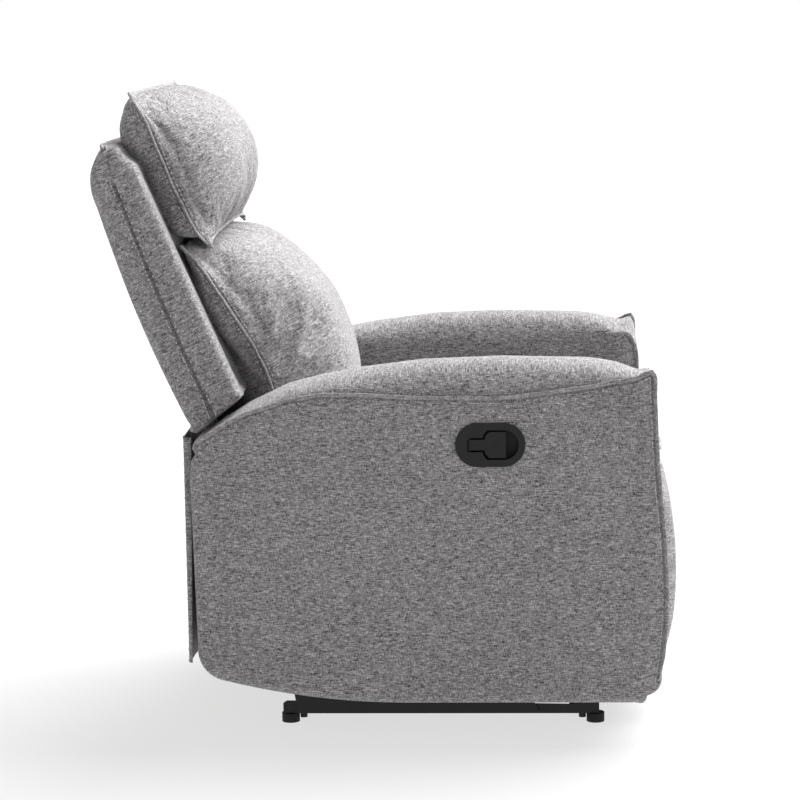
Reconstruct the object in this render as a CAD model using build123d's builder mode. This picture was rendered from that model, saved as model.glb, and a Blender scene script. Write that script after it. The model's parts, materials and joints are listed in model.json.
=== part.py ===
from build123d import *
from math import cos, radians, sin
import os

# Manual recliner armchair with a rising footrest, a reclining back and a recessed release handle.
# Millimetres. The chair faces -Y, +Z is up, the sitter's right hand (the handle's side) is -X,
# and the origin is on the floor under the middle of the chair.
# The right and left halves are alike, so a point of the mechanism is a (y, z) pair.

SIDES = (("right", -1), ("left", 1))

# ---------------------------------------------------------------- driving dimensions: upholstery
arm_outer = 395.0            # |x| of the arms' outer faces
arm_inner = 255.0            # |x| of the arms' inner faces
outer_panel_thickness = 20.0
inner_panel_thickness = 15.0
seam_gap = 1.5               # between the panels' top edges and the padded arm top
arm_side_inset = 3.0         # the side panels and the padded top lie this far inside the bezel's face
front_pad_gap = 0.5
timber = 22.0                # thickness of the arm frame's boards
timber_width = 50.0
arm_post_clearance = 2.0     # from the inner panel to the first board

# Stations along the arm's top seam: y, height of the seam, and rise of the padded crown above it
ARM_STATIONS = (
    (-415, 606, 3), (-395, 600, 15), (-330, 588, 38), (-190, 570, 60), (-50, 571, 54),
    (50, 576, 36), (105, 577, 24), (160, 569, 18), (225, 548, 8), (270, 525, 3), (317, 494, 2),
)
arm_front_top = (-429, 604)      # front face of the arm: top, middle and bottom of a shallow arc
arm_front_middle = (-445, 350)
arm_front_bottom = (-436, 100)
front_pad_thickness = 14.0
arm_bottom = 70.0
arm_rear_low = (315, 165)
arm_rear_high = (322, 442)

seat_half_width = 250.0
cushion_bottom = 356.0
cushion_top = 490.0

wing_outer = 345.0           # |x| of the back's side faces
wing_thickness = 45.0
back_panel_thickness = 14.0
back_lower_half_width = 250.0
back_cushion_half_width = 285.0
headrest_half_width = 290.0

flap_y = 335.0
flap_top = 500.0
flap_bottom = 124.0
flap_half_width = 330.0
flap_thickness = 4.0

# ---------------------------------------------------------------- driving dimensions: base
glide_radius = 15.0
glide_height = 15.0
foot_x = 236.0
FOOT_STATIONS = (178.0, -334.0)          # y of the rear and front glides
rail_outer = 246.0
rail_web = 3.0
rail_flange_width = 25.0
rail_top = 37.0
rail_middle = -75.0          # y of the rails' middle
rail_length = 530.0
stem_radius = 4.0            # threaded stem of a glide
stem_length = 11.0
stem_clearance = 0.3
bolt_inset = 22.0            # from a glide's middle to the gusset bolt beside it
bolt_radius = 3.0
bolt_head_radius = 6.0
bolt_head_height = 8.0
cross_tube_size = 20.0
cross_tube_wall = 2.0
cross_tube_bottom = 26.0
CROSS_TUBE_PLACES = (-300.0, 150.0)      # y of the two tubes

# The rail's upright web from the rear: gusset, saddle, shallow run forward, front gusset
RAIL_WEB_OUTLINE = (
    (190, glide_height), (190, 33), (184, rail_top), (150, rail_top), (128, 43), (70, rail_top),
    (-290, 31), (-312, rail_top), (-340, rail_top), (-340, glide_height),
)
# Base plate: a leg up behind the rear lift link, and a low run forward
BASE_PLATE_OUTLINE = (
    (165, 20), (180, 100), (160, 150), (144, 150), (150, 90), (136, 62), (-180, 62), (-215, 62), (-240, 20),
)
lift_boss_radius = 14.0
lift_boss_foot = 60.0        # height at which a lift link's boss runs into the plate
lift_boss_spread = 30.0
ARM_BOLTS = ((-215, 50), (-60, 50), (90, 50), (162, 120))
arm_bolt_radius = 6.0

# ---------------------------------------------------------------- driving dimensions: mechanism
plate = 4.0                  # thickness of every mechanism plate and link
pin_radius = 4.0
running_clearance = 0.05
open_pivot_clearance = 2.6   # at the pivots where a closed loop is opened
bracket_pivot_clearance = 1.4
pin_overhang = 0.5           # how far a pin stands past the plate it holds
link_radius = 10.0
ear_radius = 11.0            # the reach link round its ear
bracket_radius = 9.0
seat_plate_radius = 14.0
seat_ear_radius = 16.0
seat_ear_top = 310.0
torque_tube_radius = 11.0
torque_tube_wall = 2.5
drive_spring_x = 190.0
drive_spring_height = 268.0
drive_spring_radius = 11.0
drive_spring_rear = 60.0
drive_spring_length = 190.0

# |x| of the inner face of each layer of plates, from the middle of the chair outwards
layer_toggle = 206.0
layer_drive = 211.0
layer_reach = 216.0
layer_guide = 221.0
layer_seat = 226.0
layer_lift = 234.0
layer_back = 220.0

# Footrest linkage, closed: pivots on the seat, on the links and on the footrest's bracket
drive_length = 225.0
reach_length = 225.0
drive_angle = -97.32         # from straight ahead, turning up
reach_angle = 39.50
toggle_along_drive = 187.8
guide_ear = (40.0, -20.0)    # on the reach link, along it and across it
drive_pivot = (-250.0, 330.0)
guide_pivot = (-302.0, 331.0)
bracket_upper = (5.0, 35.0)  # from the bracket's lower pivot, forward and up

back_hinge = (215.0, 316.0)
lift_length = 150.0
lift_lean = 8.6              # degrees behind vertical at rest
LIFT_FEET = (("front", -200.0), ("rear", 120.0))
lift_foot_z = 110.0

seat_rail_bottom = 300.0
seat_rail_top = 346.0
seat_rail_thickness = 16.0
seat_rail_middle = -95.0
seat_rail_length = 600.0
front_rail_bottom = 327.0
front_rail_middle = -384.5
front_rail_thickness = 21.0
rear_rail_middle = (170.0, 338.0)
spring_wire = 4.0
spring_pitch = 26.0
spring_turns = 20
spring_reach = 18.0          # how far a sinuous spring swings out each side of its run
spring_ends = (-390.0, 178.0)
spring_first = -375.0        # y of the first bend
spring_bend = 4.5
SPRING_PLACES = (-180, -90, 0, 90, 180)

# ---------------------------------------------------------------- driving dimensions: handle
handle_centre = (-162.0, 496.0)
bezel_length = 112.0
bezel_height = 71.0
bezel_ring = 5.0             # how far the bezel's face laps past the cup
bezel_thickness = 3.6
bezel_proud = 0.6
cup_depth = 22.0
cup_wall = 2.0
lever_thickness = 4.8
lever_gap = 3.0              # between the lever and the keyhole it sits in
stem_gap = 3.3               # the same, beside the lever's stem and at its hinge end
lever_recess = 0.2
lug_thickness = 4.0
lug_clearance = 0.4          # between a lug and the lever's barrel
lug_width = 5.6
lug_overhang = 2.4           # how far a lug stands past the middle of the pin
hinge_pin = (389.5, -127.0)  # |x| and y of the lever's upright hinge pin
hinge_pin_radius = 1.5
barrel_radius = 3.0

# Half outline of the lever in its keyhole, from the finger end to the hinge, from the handle's centre
LEVER_OUTLINE = ((-25.0, 21.0), (2.0, 21.0), (8.5, 13.0), (8.5, 8.5), (33.5, 8.5))
keyhole_end_radius = 24.0
keyhole_end_shift = 3.5      # from the lever's finger end to the middle of the keyhole's round end


def forward(point, angle, distance):
    """The point that lies that far from a (y, z) point, at an angle up from straight ahead."""
    return (point[0] - distance * cos(radians(angle)), point[1] + distance * sin(radians(angle)))


drive_elbow = forward(drive_pivot, drive_angle, drive_length)
toggle_pivot = forward(drive_pivot, drive_angle, toggle_along_drive)
bracket_lower_pivot = forward(drive_elbow, reach_angle, reach_length)
ear_along = forward(drive_elbow, reach_angle, guide_ear[0])
guide_end = forward(ear_along, reach_angle + 90, guide_ear[1])
bracket_upper_pivot = (
    bracket_lower_pivot[0] - bracket_upper[0], bracket_lower_pivot[1] + bracket_upper[1])
LIFT_TOPS = {
    name: forward((y, lift_foot_z), 90 + lift_lean, lift_length) for name, y in LIFT_FEET}


def save(piece, node):
    """Label a finished piece and write it to its own STEP file."""
    piece.part.label = node
    export_step(piece.part, f"parts/{node}.step")


def layer(sign, inner, thickness=plate):
    """Middle plane of a plate that starts at |x| = inner on one side of the chair."""
    return Plane.YZ.offset(sign * (inner + thickness / 2))


def polygon(*points, mode=Mode.ADD):
    """A flat shape of straight edges, in the sketch that is open."""
    Polygon(*points, align=None, mode=mode)


def beside_glide(y):
    """Place of the gusset bolt next to a glide, towards the middle of the chair."""
    return y - bolt_inset if y > 0 else y + bolt_inset


def bar(points, radius=link_radius, holes=()):
    """A flat link round its pivots, with a hole of its own radius at some of them."""
    with BuildSketch() as ends:
        with Locations(*points):
            Circle(radius)
    make_hull(ends.sketch.edges())
    for point, hole_radius in holes:
        with Locations(point):
            Circle(hole_radius, mode=Mode.SUBTRACT)


def pin(sign, point, inner, outer, radius=pin_radius):
    """A round pin along X at a (y, z) point, from |x| = inner to outer."""
    with BuildSketch(layer(sign, inner, outer - inner)) as section:
        with Locations(point):
            Circle(radius)
    extrude(section.sketch, amount=(outer - inner) / 2, both=True)


running_hole = pin_radius + running_clearance
open_hole = pin_radius + open_pivot_clearance

# ================================================================ base
# Angle-iron rails stand on plastic glides and are joined by two square tubes.
for side, sign in SIDES:
    with BuildPart() as base_rail:
        with BuildSketch(layer(sign, rail_outer - rail_web, rail_web)):
            polygon(*RAIL_WEB_OUTLINE)
        extrude(amount=rail_web / 2, both=True)
        with BuildSketch(Plane.XY.offset(glide_height)):
            with Locations((sign * (rail_outer - rail_flange_width / 2), rail_middle)):
                Rectangle(rail_flange_width, rail_length)
            for y in FOOT_STATIONS:
                with Locations((sign * foot_x, y)):
                    Circle(stem_radius + stem_clearance, mode=Mode.SUBTRACT)
                with Locations((sign * foot_x, beside_glide(y))):
                    Circle(bolt_radius + stem_clearance, mode=Mode.SUBTRACT)
        extrude(amount=rail_web)
    save(base_rail, f"base_rail_{side}")

# Glide pads with a threaded stem up through the rail
with BuildPart() as foot_glides:
    for side, sign in SIDES:
        for y in FOOT_STATIONS:
            with BuildSketch(Plane.XY):
                with Locations((sign * foot_x, y)):
                    Circle(glide_radius)
            extrude(amount=glide_height)
            with BuildSketch(Plane.XY.offset(glide_height)):
                with Locations((sign * foot_x, y)):
                    Circle(stem_radius)
            extrude(amount=stem_length)
save(foot_glides, "foot_glides")

# Short bolts beside the glides that hold the rail's end gussets
with BuildPart() as foot_bolts:
    for side, sign in SIDES:
        for y in FOOT_STATIONS:
            place = (sign * foot_x, beside_glide(y))
            with BuildSketch(Plane.XY.offset(glide_height - bolt_head_height)):
                with Locations(place):
                    Circle(bolt_head_radius)
            extrude(amount=bolt_head_height)
            with BuildSketch(Plane.XY.offset(glide_height)):
                with Locations(place):
                    Circle(bolt_radius)
            extrude(amount=bolt_head_height)
save(foot_bolts, "foot_bolts")

with BuildPart() as base_cross_tubes:
    bore = cross_tube_size - 2 * cross_tube_wall
    for y in CROSS_TUBE_PLACES:
        with BuildSketch(Plane.YZ):
            with Locations((y, cross_tube_bottom + cross_tube_size / 2)):
                RectangleRounded(cross_tube_size, cross_tube_size, 1.5 * cross_tube_wall)
                RectangleRounded(bore, bore, 0.75 * cross_tube_wall, mode=Mode.SUBTRACT)
        extrude(amount=rail_outer - rail_web, both=True)
save(base_cross_tubes, "base_cross_tubes")

# Upright plates on the rails carry the feet of the lift links; a leg at the rear braces the arm
for side, sign in SIDES:
    with BuildPart() as base_plate:
        with BuildSketch(layer(sign, rail_outer, plate)):
            polygon(*BASE_PLATE_OUTLINE)
            for name, y in LIFT_FEET:
                bar([(y, lift_foot_z), (y, lift_boss_foot), (y + lift_boss_spread, lift_boss_foot)],
                    lift_boss_radius)
        extrude(amount=plate / 2, both=True)
    save(base_plate, f"base_plate_{side}")

with BuildPart() as base_pivot_pins:
    for side, sign in SIDES:
        for name, y in LIFT_FEET:
            pin(sign, (y, lift_foot_z), layer_lift - pin_overhang, rail_outer)
save(base_pivot_pins, "base_pivot_pins")

# Spacer bolts from the base plates to the arms' inner panels
with BuildPart() as arm_bolts:
    for side, sign in SIDES:
        for point in ARM_BOLTS:
            pin(sign, point, rail_outer + plate, arm_inner, arm_bolt_radius)
save(arm_bolts, "arm_bolts")

# ================================================================ arms
arm_side_face = arm_outer - arm_side_inset
post_layer = arm_inner + inner_panel_thickness + arm_post_clearance


def arm_side(top_drop, front_inset):
    """Outline of an arm's side board, below the top seam and behind the padded front."""
    front_top = (arm_front_top[0] + front_inset, ARM_STATIONS[0][1] - top_drop)
    front_middle = (arm_front_middle[0] + front_inset, arm_front_middle[1])
    front_bottom = (arm_front_bottom[0] + front_inset, arm_front_bottom[1])
    seam = [(y, z - top_drop) for y, z, rise in ARM_STATIONS[1:]]
    with BuildLine() as outline:
        Polyline(front_top, *seam, arm_rear_high, arm_rear_low)
        ThreePointArc(arm_rear_low, (304, 126), (276, 108))
        ThreePointArc((276, 108), (130, 80), (-20, arm_bottom))
        Line((-20, arm_bottom), (-390, arm_bottom))
        ThreePointArc((-390, arm_bottom), (front_bottom[0] + 8, 78), front_bottom)
        ThreePointArc(front_bottom, front_middle, front_top)
    make_face(outline.edges())


for side, sign in SIDES:
    with BuildPart() as arm_outer_panel:
        with BuildSketch(layer(sign, arm_side_face - outer_panel_thickness, outer_panel_thickness)):
            arm_side(seam_gap, front_pad_thickness + front_pad_gap)
            if side == "right":
                with Locations(handle_centre):
                    SlotOverall(bezel_length - 8, bezel_height - 8, mode=Mode.SUBTRACT)
        extrude(amount=outer_panel_thickness / 2, both=True)
    save(arm_outer_panel, f"arm_outer_panel_{side}")

    with BuildPart() as arm_inner_panel:
        with BuildSketch(layer(sign, arm_inner, inner_panel_thickness)):
            arm_side(seam_gap, front_pad_thickness + front_pad_gap)
        extrude(amount=inner_panel_thickness / 2, both=True)
    save(arm_inner_panel, f"arm_inner_panel_{side}")

    # Timber frame between the panels: two posts and two rails
    with BuildPart() as arm_frame:
        with BuildSketch(layer(sign, post_layer, timber)):
            with Locations((-375, 320)):
                Rectangle(timber_width, 470)
            with Locations((275, 300)):
                Rectangle(timber_width, 330)
        extrude(amount=timber / 2, both=True)
        with BuildSketch(layer(sign, post_layer + timber, timber)):
            with Locations((-50, 520), (-50, 130)):
                Rectangle(520, timber_width)
        extrude(amount=timber / 2, both=True)
    save(arm_frame, f"arm_frame_{side}")

    # Padded arm top: a straight-sided run of domed sections, one at each station
    with BuildPart() as arm_top_pad:
        for y, seam, rise in ARM_STATIONS:
            with BuildSketch(Plane.XZ.offset(-y)):
                with BuildLine():
                    Line((sign * arm_inner, seam), (sign * arm_side_face, seam))
                    ThreePointArc(
                        (sign * arm_side_face, seam),
                        (sign * (arm_inner + arm_side_face) / 2, seam + rise),
                        (sign * arm_inner, seam))
                make_face()
        loft(ruled=True)
    save(arm_top_pad, f"arm_top_pad_{side}")

    # Padded front of the arm, as thick all the way down
    with BuildPart() as arm_front_pad:
        with BuildSketch(layer(sign, arm_inner, arm_outer - arm_inner)):
            with BuildLine():
                ThreePointArc(arm_front_top, arm_front_middle, arm_front_bottom)
                inset = [
                    (p[0] + front_pad_thickness, p[1])
                    for p in (arm_front_bottom, arm_front_middle, arm_front_top)]
                Line(arm_front_bottom, inset[0])
                ThreePointArc(*inset)
                Line(inset[2], arm_front_top)
            make_face()
        extrude(amount=(arm_outer - arm_inner) / 2, both=True)
    save(arm_front_pad, f"arm_front_pad_{side}")

# Board between the arms at the rear
with BuildPart() as rear_stretcher:
    with BuildSketch(Plane.YZ):
        with Locations((302, 200)):
            Rectangle(20, 140)
    extrude(amount=arm_inner, both=True)
save(rear_stretcher, "rear_stretcher")

# ================================================================ release handle, on the right arm
face = arm_outer + bezel_proud           # |x| of the bezel's front face
cup_length = bezel_length - 2 * bezel_ring
cup_height = bezel_height - 2 * bezel_ring
cup_floor = face - cup_depth


def on_handle(outline):
    """A half outline from the handle's centre, mirrored below it and moved into place."""
    whole = list(outline) + [(along, -up) for along, up in reversed(outline)]
    return [(handle_centre[0] + along, handle_centre[1] + up) for along, up in whole]


def slot_in_arm(inner, thickness, length, height, mode=Mode.ADD):
    """A round-ended block on the handle's centre, between two depths in the right arm."""
    with BuildSketch(layer(-1, inner, thickness)) as section:
        with Locations(handle_centre):
            SlotOverall(length, height)
    extrude(section.sketch, amount=thickness / 2, both=True, mode=mode)


barrel_half = LEVER_OUTLINE[-1][1]
pin_half = barrel_half + lug_clearance + lug_thickness
with BuildPart() as handle_bezel:
    slot_in_arm(cup_floor - cup_wall, cup_depth + cup_wall, cup_length, cup_height)
    slot_in_arm(cup_floor, cup_depth, cup_length - 2 * cup_wall, cup_height - 2 * cup_wall, Mode.SUBTRACT)
    # Face plate with a keyhole: a little larger than the lever, and round where the fingers go in
    with BuildSketch(layer(-1, face - bezel_thickness, bezel_thickness)):
        with Locations(handle_centre):
            SlotOverall(bezel_length, bezel_height)
        keyhole = [(LEVER_OUTLINE[0][0] + keyhole_end_shift, keyhole_end_radius)]
        for along, up in LEVER_OUTLINE[1:]:
            gap = lever_gap if up > barrel_half else stem_gap
            keyhole.append((along + gap, up + lever_gap))
        polygon(*on_handle(keyhole), mode=Mode.SUBTRACT)
        with Locations((handle_centre[0] + keyhole[0][0], handle_centre[1])):
            Circle(keyhole_end_radius, mode=Mode.SUBTRACT)
    extrude(amount=bezel_thickness / 2, both=True)
    # Two lugs on the cup's floor hold the hinge pin
    for end in (-1, 1):
        lug_z = handle_centre[1] + end * (barrel_half + lug_clearance + lug_thickness / 2)
        lug_face = hinge_pin[0] + lug_overhang
        with BuildSketch(Plane.XY.offset(lug_z - lug_thickness / 2)):
            with Locations((-(cup_floor + lug_face) / 2, hinge_pin[1])):
                Rectangle(lug_face - cup_floor, lug_width)
            with Locations((-hinge_pin[0], hinge_pin[1])):
                Circle(hinge_pin_radius + running_clearance, mode=Mode.SUBTRACT)
        extrude(amount=lug_thickness)
save(handle_bezel, "handle_bezel")

with BuildPart() as handle_pin:
    with BuildSketch(Plane.XY.offset(handle_centre[1] - pin_half)):
        with Locations((-hinge_pin[0], hinge_pin[1])):
            Circle(hinge_pin_radius)
    extrude(amount=2 * pin_half)
save(handle_pin, "handle_pin")

# Pull lever: a T-shaped plate flush with the face, with a barrel on the pin behind its stem
with BuildPart() as handle_lever:
    with BuildSketch(layer(-1, face - lever_recess - lever_thickness, lever_thickness)):
        polygon(*on_handle(LEVER_OUTLINE))
    extrude(amount=lever_thickness / 2, both=True)
    with BuildSketch(Plane.XY.offset(handle_centre[1] - barrel_half)):
        with Locations((-hinge_pin[0], hinge_pin[1])):
            Circle(barrel_radius)
    extrude(amount=2 * barrel_half)
    with BuildSketch(Plane.XY.offset(handle_centre[1] - pin_half)):
        with Locations((-hinge_pin[0], hinge_pin[1])):
            Circle(hinge_pin_radius + running_clearance)
    extrude(amount=2 * pin_half, mode=Mode.SUBTRACT)
save(handle_lever, "handle_lever")

# ================================================================ seat
for side, sign in SIDES:
    with BuildPart() as seat_side_rail:
        with BuildSketch(layer(sign, layer_seat + plate, seat_rail_thickness)):
            with Locations((seat_rail_middle, (seat_rail_bottom + seat_rail_top) / 2)):
                Rectangle(seat_rail_length, seat_rail_top - seat_rail_bottom)
        extrude(amount=seat_rail_thickness / 2, both=True)
    save(seat_side_rail, f"seat_side_rail_{side}")

    # Mechanism plate on the rail's inner face, with an ear down to each lift link
    with BuildPart() as seat_plate:
        with BuildSketch(layer(sign, layer_seat)):
            bar([back_hinge, (-300, 330), (-300, 320), (205, 330)], seat_plate_radius)
            for name, top in LIFT_TOPS.items():
                bar([top, (top[0], seat_ear_top)], seat_ear_radius)
            for name, top in LIFT_TOPS.items():
                with Locations(top):
                    Circle(open_hole, mode=Mode.SUBTRACT)
        extrude(amount=plate / 2, both=True)
    save(seat_plate, f"seat_plate_{side}")

with BuildPart() as seat_pivot_pins:
    for side, sign in SIDES:
        pin(sign, drive_pivot, layer_toggle + 2, layer_seat)
        pin(sign, guide_pivot, layer_guide - pin_overhang, layer_seat)
        pin(sign, back_hinge, layer_back - pin_overhang, layer_seat)
save(seat_pivot_pins, "seat_pivot_pins")

with BuildPart() as seat_front_rail:
    with BuildSketch(Plane.YZ):
        with Locations((front_rail_middle, (front_rail_bottom + seat_rail_top) / 2)):
            Rectangle(front_rail_thickness, seat_rail_top - front_rail_bottom)
    extrude(amount=layer_seat + plate, both=True)
save(seat_front_rail, "seat_front_rail")

with BuildPart() as seat_rear_rail:
    with BuildSketch(Plane.YZ):
        with Locations(rear_rail_middle):
            Rectangle(25, 16)
    extrude(amount=layer_seat, both=True)
save(seat_rear_rail, "seat_rear_rail")

# Sinuous springs run from the front rail to the rear rail
with BuildPart() as seat_springs:
    for x in SPRING_PLACES:
        corners = [(x, spring_ends[0])]
        for turn in range(spring_turns):
            reach = spring_reach if turn % 2 else -spring_reach
            y = spring_first + turn * spring_pitch
            corners += [(x + reach, y), (x + reach, y + spring_pitch - 10)]
        corners.append((x, spring_ends[1]))
        with BuildSketch(Plane.XY.offset(seat_rail_top)):
            with BuildLine() as zigzag:
                FilletPolyline(*corners, radius=spring_bend)
            trace(zigzag.line, line_width=spring_wire)
        extrude(amount=spring_wire)
save(seat_springs, "seat_springs")

# Foam seat with a rounded front lip that overhangs the footrest's top edge
with BuildPart() as seat_cushion:
    with BuildSketch(Plane.YZ):
        with BuildLine():
            Polyline(
                (-398, cushion_bottom), (-398, 450), (-436, 454), (-452, 462), (-446, 478),
                (-420, cushion_top))
            ThreePointArc((-420, cushion_top), (-160, cushion_top + 14), (108, cushion_top - 3))
            Polyline((108, cushion_top - 3), (108, cushion_bottom), (-398, cushion_bottom))
        make_face()
    extrude(amount=seat_half_width, both=True)
save(seat_cushion, "seat_cushion")

# Drive springs under the seat, hooked behind the drive links
with BuildPart() as drive_springs:
    for side, sign in SIDES:
        with BuildSketch(Plane.XZ.offset(-drive_spring_rear)):
            with Locations((sign * drive_spring_x, drive_spring_height)):
                Circle(drive_spring_radius)
        extrude(amount=drive_spring_length)
save(drive_springs, "drive_springs")

# ================================================================ back
front_low = (240, 566)           # the back's side outline, front and rear
front_high = (404, 942)
rear_low = (318, 501)
rear_bow = (407, 700)
rear_high = (469, 877)
rear_foot = (263, 335)           # bottom of the narrow lower part
post_knee, post_top = (292, 560), (425, 900)
post_radius = 18.0
rail_upper = (415, 874)          # upper cross rail; the lower one is at the posts' knees
back_tilt = -21.0                # degrees that the rails and the webbing lean
webbing_width = 45.0
webbing_thickness = 2.0
WEBBING_SHARES = (0.22, 0.42, 0.62, 0.80)    # of the way from the lower cross rail to the upper one
panel_overlap = 0.6              # the outside back's skin beds this far into the padded sides
inner_shift = back_panel_thickness - panel_overlap


def top_roll():
    """Rounded top of the back, from the rear face over to the front."""
    ThreePointArc(rear_high, (478, 920), (459, 970))
    ThreePointArc((459, 970), (442, 975), (427, 962))
    Line((427, 962), front_high)


for side, sign in SIDES:
    # Flat steel post from the hinge up the middle of the back's thickness
    with BuildPart() as back_post:
        with BuildSketch(layer(sign, layer_back)):
            bar([back_hinge, post_knee], post_radius, [(back_hinge, running_hole)])
            bar([post_knee, post_top], post_radius)
        extrude(amount=plate / 2, both=True)
    save(back_post, f"back_post_{side}")

    # Padded side of the back, cut on a slant above the arm
    with BuildPart() as back_wing:
        with BuildSketch(layer(sign, wing_outer - wing_thickness, wing_thickness)):
            with BuildLine():
                Line(front_high, front_low)
                Line(front_low, (rear_low[0] - back_panel_thickness, rear_low[1] + 12))
                ThreePointArc(
                    (rear_low[0] - back_panel_thickness, rear_low[1] + 12),
                    (rear_bow[0] - back_panel_thickness, rear_bow[1]),
                    (rear_high[0] - back_panel_thickness, rear_high[1]))
                Polyline((rear_high[0] - back_panel_thickness, rear_high[1]), (442, 944), front_high)
            make_face()
        extrude(amount=wing_thickness / 2, both=True)
    save(back_wing, f"back_wing_{side}")

with BuildPart() as back_cross_rails:
    for centre in (post_knee, rail_upper):
        with BuildSketch(Plane.YZ):
            with Locations(Location(centre, back_tilt)):
                Rectangle(20, 34)
        extrude(amount=layer_back, both=True)
save(back_cross_rails, "back_cross_rails")

# Elastic webbing straps across the posts, behind the cushions
with BuildPart() as back_webbing:
    for share in WEBBING_SHARES:
        centre = (
            post_knee[0] + share * (rail_upper[0] - post_knee[0]) - 13,
            post_knee[1] + share * (rail_upper[1] - post_knee[1]) + 5)
        with BuildSketch(Plane.YZ):
            with Locations(Location(centre, back_tilt)):
                Rectangle(webbing_thickness, webbing_width)
        extrude(amount=layer_back - 0.5, both=True)
save(back_webbing, "back_webbing")

# Outside back: one skin over the rear, rolled over the top, narrower below the arms' tops
with BuildPart() as back_outer_panel:
    with BuildSketch(Plane.YZ):
        with BuildLine():
            ThreePointArc(rear_low, rear_bow, rear_high)
            top_roll()
            Line(front_high, (443, 945))
            Line((443, 945), (rear_high[0] - inner_shift, rear_high[1]))
            ThreePointArc(
                (rear_high[0] - inner_shift, rear_high[1]),
                (rear_bow[0] - inner_shift, rear_bow[1]),
                (rear_low[0] - inner_shift, rear_low[1] + 12))
            Line((rear_low[0] - inner_shift, rear_low[1] + 12), rear_low)
        make_face()
    extrude(amount=wing_outer, both=True)
    with BuildSketch(Plane.YZ):
        polygon(
            rear_low, (rear_low[0] - inner_shift, rear_low[1] + 12),
            (rear_foot[0] - back_panel_thickness, rear_foot[1]), rear_foot)
    extrude(amount=back_lower_half_width, both=True)
save(back_outer_panel, "back_outer_panel")

# Lumbar cushion on the front of the back, with a tail tucked in behind the seat
with BuildPart() as back_cushion:
    with BuildSketch(Plane.YZ):
        with BuildLine():
            Polyline((237, 566), (346, 815), (300, 815))
            Spline((300, 815), (245, 816), (171, 766), (101, 672), (69, 578), (84, 496))
            Polyline((84, 496), (124, 496), (132, 400), (188, 390), (212, 508), (237, 566))
        make_face()
    extrude(amount=back_cushion_half_width, both=True)
    # Low down, where it passes between the arms, it is narrower
    for side, sign in SIDES:
        with BuildSketch(layer(sign, seat_half_width, 60)):
            polygon((40, 380), (40, 645), (270, 645), (270, 380))
        extrude(amount=30, both=True, mode=Mode.SUBTRACT)
save(back_cushion, "back_cushion")

# Headrest pillow over the top of the back
with BuildPart() as headrest_pillow:
    with BuildSketch(Plane.YZ):
        with BuildLine():
            Polyline((427, 966), (402, 945), (348, 820))
            Spline((348, 820), (292, 824), (248, 858), (240, 905), (252, 968), (296, 1028), (352, 1056),
                   (410, 1056), (436, 1014), (427, 966))
        make_face()
    extrude(amount=headrest_half_width, both=True)
save(headrest_pillow, "headrest_pillow")

# Loose fabric flap that hangs from the back's lower edge and covers the gap to the floor
with BuildPart() as rear_flap:
    with BuildSketch(Plane.YZ):
        with Locations((flap_y, (flap_top + flap_bottom) / 2)):
            Rectangle(flap_thickness, flap_top - flap_bottom)
    extrude(amount=flap_half_width, both=True)
save(rear_flap, "rear_flap")

# ================================================================ lift links
for name, y in LIFT_FEET:
    foot = (y, lift_foot_z)
    top = LIFT_TOPS[name]
    for side, sign in SIDES:
        with BuildPart() as lift_link:
            with BuildSketch(layer(sign, layer_lift)):
                bar([foot, top], link_radius, [(foot, running_hole)])
            extrude(amount=plate / 2, both=True)
            pin(sign, top, layer_seat, layer_lift)
        save(lift_link, f"{name}_lift_link_{side}")

# ================================================================ footrest linkage
for side, sign in SIDES:
    # Drive link: turns on the seat plate, carries the elbow pin and the toggle pin
    with BuildPart() as drive_link:
        with BuildSketch(layer(sign, layer_drive)):
            bar([drive_pivot, drive_elbow], link_radius, [(drive_pivot, running_hole)])
        extrude(amount=plate / 2, both=True)
        pin(sign, drive_elbow, layer_drive + plate, layer_reach + plate + pin_overhang)
        pin(sign, toggle_pivot, layer_toggle - pin_overhang, layer_drive)
    save(drive_link, f"drive_link_{side}")

    # Reach link: from the elbow to the footrest's bracket, with an ear for the guide link
    with BuildPart() as reach_link:
        with BuildSketch(layer(sign, layer_reach)):
            bar([drive_elbow, bracket_lower_pivot], link_radius)
            bar([drive_elbow, guide_end, ear_along], ear_radius)
            with Locations(drive_elbow):
                Circle(running_hole, mode=Mode.SUBTRACT)
            with Locations(guide_end):
                Circle(open_hole, mode=Mode.SUBTRACT)
        extrude(amount=plate / 2, both=True)
        pin(sign, bracket_lower_pivot, layer_drive - pin_overhang, layer_reach)
    save(reach_link, f"reach_link_{side}")

    # Guide link: keeps the reach link's angle as the drive link swings
    with BuildPart() as guide_link:
        with BuildSketch(layer(sign, layer_guide)):
            bar([guide_pivot, guide_end], link_radius, [(guide_pivot, running_hole)])
        extrude(amount=plate / 2, both=True)
        pin(sign, guide_end, layer_reach + 0.2, layer_guide)
    save(guide_link, f"guide_link_{side}")

    # Toggle link: turns the footrest level as it rises
    with BuildPart() as toggle_link:
        with BuildSketch(layer(sign, layer_toggle)):
            bar([toggle_pivot, bracket_upper_pivot], link_radius, [(toggle_pivot, running_hole)])
        extrude(amount=plate / 2, both=True)
        pin(sign, bracket_upper_pivot, layer_toggle + plate, layer_drive + plate - 0.2)
    save(toggle_link, f"toggle_link_{side}")

# Tube that joins the right and left drive links
with BuildPart() as torque_tube:
    with BuildSketch(Plane.YZ):
        with Locations(drive_pivot):
            Circle(torque_tube_radius)
            Circle(torque_tube_radius - torque_tube_wall, mode=Mode.SUBTRACT)
    extrude(amount=layer_drive, both=True)
save(torque_tube, "torque_tube")

# ================================================================ footrest
board_rear = -411.0
board_thickness = 10.0
footrest_bottom = 42.0
footrest_top = 438.0

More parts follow.
